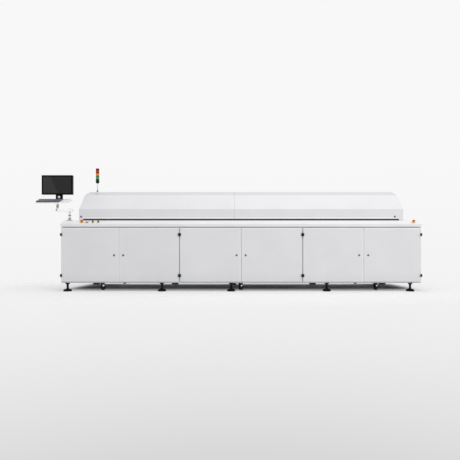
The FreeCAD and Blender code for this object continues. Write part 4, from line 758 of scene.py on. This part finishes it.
class OVEN_OT_louvres(bpy.types.Operator):
    """Pressed louvre hoods over the rear panels' slots: a quarter-round that dies away at both ends"""
    bl_idname = "oven.louvres"
    bl_label = "Rear louvres"

    def execute(self, context):
        rows, columns = 25, 7
        depth, rise, overlap, sheet = 7 * MM, 15 * MM, 1.5 * MM, 1.0 * MM
        u = np.linspace(-1.0, 1.0, rows)[:, None]
        v = np.linspace(0.0, 0.5 * math.pi, columns)[None, :]
        # P(u, v): length along u, a quarter ellipse in v, scaled by (1 - u^8)
        swell = np.clip(1.0 - np.abs(u) ** 8, 0.0, 1.0)
        outer = np.stack([np.broadcast_to(u * LOUVRE_HALF, (rows, columns)), swell * depth * np.sin(v),
                          rise * np.cos(v) * swell - overlap], axis=-1)
        inner = outer - np.array([0.0, sheet, sheet])
        inner[..., 1] = np.maximum(inner[..., 1], 0.0)
        points = np.concatenate([outer.reshape(-1, 3), inner.reshape(-1, 3)])
        skin = grid_faces(rows, columns, wrap=False)
        lining = skin[:, ::-1] + rows * columns
        rim = np.arange(rows) * columns + columns - 1
        lip = np.column_stack([rim[:-1], rim[1:], rim[1:] + rows * columns, rim[:-1] + rows * columns])
        faces = np.concatenate([skin, lining, lip])
        places = []
        for a, b in REAR_PANELS:
            start, stop = a + REAR_PANEL_GAP, b - REAR_PANEL_GAP
            for share in (0.25, 0.75):
                x = start + (stop - start) * share
                places += [(x, -FRONT, LOUVRE_TOP - LOUVRE_PITCH * row) for row in range(6)]
        make_piece("rear_louvres", [repeat(points, faces, places)], finish_for("panel_paint"), "cabinet",
                   sharp=50.0)
        return {"FINISHED"}


class OVEN_OT_stage(bpy.types.Operator):
    """Pale floor, soft lamps, backdrop and camera"""
    bl_idname = "oven.stage"
    bl_label = "Stage"

    def execute(self, context):
        scene = context.scene
        stage = scene.oven_stage
        scene.view_settings.view_transform = "Standard"
        world = bpy.data.worlds.new("Even studio light")
        scene.world = world
        world.use_nodes = True
        self.light_world(world.node_tree, stage)

        mesh = bpy.data.meshes.new("studio_floor")
        corners = [(x * FLOOR_REACH, y * FLOOR_REACH, 0) for x, y in ((-1, -1), (1, -1), (1, 1), (-1, 1))]
        mesh.from_pydata(corners, [], [(0, 1, 2, 3)])
        floor = bpy.data.objects.new("studio_floor", mesh)
        scene.collection.objects.link(floor)
        mesh.materials.append(self.floor_material())

        self.hang_lamp("key_lamp", "AREA", stage.key, KEY_PLACE, LAMP_AIM, size=4.0)
        self.hang_lamp("top_lamp", "AREA", stage.top, TOP_PLACE, LAMP_AIM, size=5.0)
        # a narrow lamp, low in front, that lights the operator's arm and passes above the floor behind it
        self.hang_lamp("station_lamp", "SPOT", stage.station, STATION_PLACE, STATION_AIM,
                       spot_size=math.radians(5.0), spot_blend=0.7, shadow_soft_size=0.05)

        camera = bpy.data.cameras.new("photo_camera")
        camera.sensor_width = 36.0
        camera.lens = stage.lens
        camera.shift_x, camera.shift_y = (pixels / PICTURE for pixels in SHIFT)
        camera.clip_end = 200.0
        holder = bpy.data.objects.new("photo_camera", camera)
        scene.collection.objects.link(holder)
        holder.location = stage.eye
        holder.rotation_euler = (math.radians(90.0), 0.0, 0.0)
        scene.camera = holder
        return {"FINISHED"}

    @staticmethod
    def hang_lamp(name, kind, power, place, target, **settings):
        """A lamp at a place, with -Z towards a target: up from straight down, then round to its heading."""
        lamp = bpy.data.lights.new(name, kind)
        lamp.energy = power
        for setting, value in settings.items():
            setattr(lamp, setting, value)
        holder = bpy.data.objects.new(name, lamp)
        bpy.context.scene.collection.objects.link(holder)
        holder.location = place
        x, y, z = np.array(target) - np.array(place)
        holder.rotation_euler = (math.atan2(math.hypot(x, y), -z), 0.0, math.atan2(y, x) - 0.5 * math.pi)

    @staticmethod
    def seen_rays(tree):
        """One for a ray that shows what it meets, directly, mirrored or through glass, and else zero."""
        path = add(tree, "LightPath")
        eye = add(tree, "Math", {0: (path, "Is Camera Ray"), 1: (path, "Is Glossy Ray")}, operation="MAXIMUM")
        return add(tree, "Math", {0: (eye, "Value"), 1: (path, "Is Transmission Ray")}, operation="MAXIMUM")

    def light_world(self, tree, stage):
        """Even white light, which is weaker near the floor, behind a backdrop that darkens downwards."""
        tree.nodes.clear()
        seen = self.seen_rays(tree)
        toward = add(tree, "TexCoord")
        height = add(tree, "SeparateXYZ", {"Vector": (toward, "Generated")})
        level = add(tree, "MapRange", {
            "Value": (height, "Z"), "From Min": 0.0, "From Max": 0.4,
            "To Min": 0.6 * stage.fill, "To Max": 1.2 * stage.fill})
        even = add(tree, "Background", {"Color": (1, 1, 1, 1), "Strength": (level, "Result")})
        # from its full tone at one height to its darkest at another, slowly at first
        full, darkest, curve = 0.35, -0.434, 2.7
        dark = shade(stage.backdrop, 0.871)
        lower = add(tree, "MapRange", {"Value": (height, "Z"), "From Min": full, "From Max": darkest})
        share = add(tree, "Math", {0: (lower, "Result"), 1: curve}, operation="POWER")
        paper = add(tree, "MixRGB", {
            "Fac": (share, "Value"), "Color1": linear(stage.backdrop), "Color2": linear(dark)})
        shown = add(tree, "Background", {"Color": (paper, "Color"), "Strength": 1.0})
        both = add(tree, "MixShader", {0: (seen, "Value"), 1: (even, "Background"), 2: (shown, "Background")})
        add(tree, "OutputWorld", {"Surface": (both, "Shader")})

    def floor_material(self):
        """Pale studio floor: matt, with the object's shadow, deepened by painted shadow under the machine and
        softened by painted light under its front edge, as bright as the backdrop and fading into it.
        """
        material, tree, shader, place = new_material("Matt studio floor paper")
        seen = self.seen_rays(tree)
        along = add(tree, "SeparateXYZ", {"Vector": (place, "Object")})
        aside = add(tree, "Math", {0: (along, "X")}, operation="ABSOLUTE")

        def step(node, output, start, end, first=0.0, last=1.0):
            """A value that runs smoothly from first to last between two places."""
            return add(tree, "MapRange", {
                "Value": (node, output), "From Min": start, "From Max": end, "To Min": first, "To Max": last},
                interpolation_type="SMOOTHSTEP")

        def times(first, second):
            """The product of two values."""
            return add(tree, "Math", {0: (first, 0), 1: (second, 0)}, operation="MULTIPLY")

        # painted shadow: the floor glows up to the backdrop's tone outside the machine's outline and hardly
        # under it, so that its shadow stays dark; each border of the outline is soft, from one place to
        # another in metres
        ends, front, back = (2.54, 2.84), (-0.573, -0.68), (0.66, 0.86)
        bare = step(aside, 0, *ends)
        for border in (front, back):
            bare = add(tree, "Math", {0: (bare, 0), 1: (step(along, "Y", *border), 0)}, operation="MAXIMUM")
        outside = add(tree, "MapRange", {"Value": (bare, 0), "To Min": 0.012, "To Max": 0.12})
        # painted light: a glow under the front edge, so that the shadow starts softly
        edge = times(step(along, "Y", -0.10, -0.55, last=0.28), step(along, "Y", -0.57, -0.80, 1.0, 0.0))
        edge = times(edge, step(aside, 0, 2.50, 2.75, 1.0, 0.0))
        strength = add(tree, "Math", {0: (outside, 0), 1: (edge, 0)}, operation="ADD")
        glow = add(tree, "Emission", {"Color": (1, 1, 1, 1), "Strength": (times(seen, strength), 0)})
        # painted shadow: the floor's colour darkens under the machine, so that the shadow is as deep at the
        # machine's two ends as in the middle
        deep = times(step(aside, 0, 1.9, 2.45), step(along, "Y", -0.45, -0.10))
        deep = times(deep, step(bare, 0, 0.0, 1.0, 0.75, 0.0))
        tone = add(tree, "MixRGB", {"Fac": (deep, 0), "Color1": linear("E8E8E8"), "Color2": linear("101010")})
        fill(tree, shader, {"Base Color": (tone, "Color"), "Roughness": 1.0, "Specular IOR Level": 0.0})
        paper = add(tree, "AddShader", {0: (shader, "BSDF"), 1: (glow, "Emission")})
        # an oval that fades out round the machine
        oval = add(tree, "Mapping", {"Vector": (place, "Object"), "Scale": (0.22, 0.42, 1.0)})
        far = add(tree, "VectorMath", {0: (oval, "Vector")}, operation="LENGTH")
        fade = add(tree, "MapRange", {"Value": (far, "Value"), "From Min": 0.55, "From Max": 1.0})
        clear = add(tree, "BsdfTransparent")
        faded = add(tree, "MixShader", {0: (times(fade, seen), 0), 1: (paper, "Shader"), 2: (clear, "BSDF")})
        fill(tree, tree.nodes["Material Output"], {"Surface": (faded, "Shader")})
        return material


class OVEN_PT_panel(bpy.types.Panel):
    """Lists the oven's operators and settings"""
    bl_label = "Reflow oven"
    bl_idname = "OVEN_PT_panel"
    bl_space_type = "VIEW_3D"
    bl_region_type = "UI"
    bl_category = "Oven"

    def draw(self, context):
        layout = self.layout
        for group in (context.scene.oven_finish, context.scene.oven_sizes, context.scene.oven_stage):
            column = layout.column(align=True)
            for name in group.__annotations__:
                column.prop(group, name)
        for operator in OPERATORS:
            layout.operator(operator.bl_idname)


GROUPS = {"oven_finish": OvenFinish, "oven_sizes": OvenSizes, "oven_stage": OvenStage}
OPERATORS = (
    OVEN_OT_finishes,
    OVEN_OT_casters,
    OVEN_OT_lenses,
    OVEN_OT_controls,
    OVEN_OT_keyboard,
    OVEN_OT_seals,
    OVEN_OT_edges,
    OVEN_OT_fasteners,
    OVEN_OT_louvres,
    OVEN_OT_stage,
)


def register():
    for kind in (*GROUPS.values(), *OPERATORS, OVEN_PT_panel):
        bpy.utils.register_class(kind)
    for name, group in GROUPS.items():
        setattr(bpy.types.Scene, name, bpy.props.PointerProperty(type=group))


def unregister():
    for name in GROUPS:
        delattr(bpy.types.Scene, name)
    for kind in (OVEN_PT_panel, *reversed(OPERATORS), *GROUPS.values()):
        bpy.utils.unregister_class(kind)


def main():
    register()
    bpy.ops.oven.finishes()
    bpy.ops.oven.casters()
    bpy.ops.oven.lenses()
    bpy.ops.oven.controls()
    bpy.ops.oven.keyboard()
    bpy.ops.oven.seals()
    bpy.ops.oven.edges()
    bpy.ops.oven.fasteners()
    bpy.ops.oven.louvres()
    bpy.ops.oven.stage()


if __name__ == "__main__":
    main()
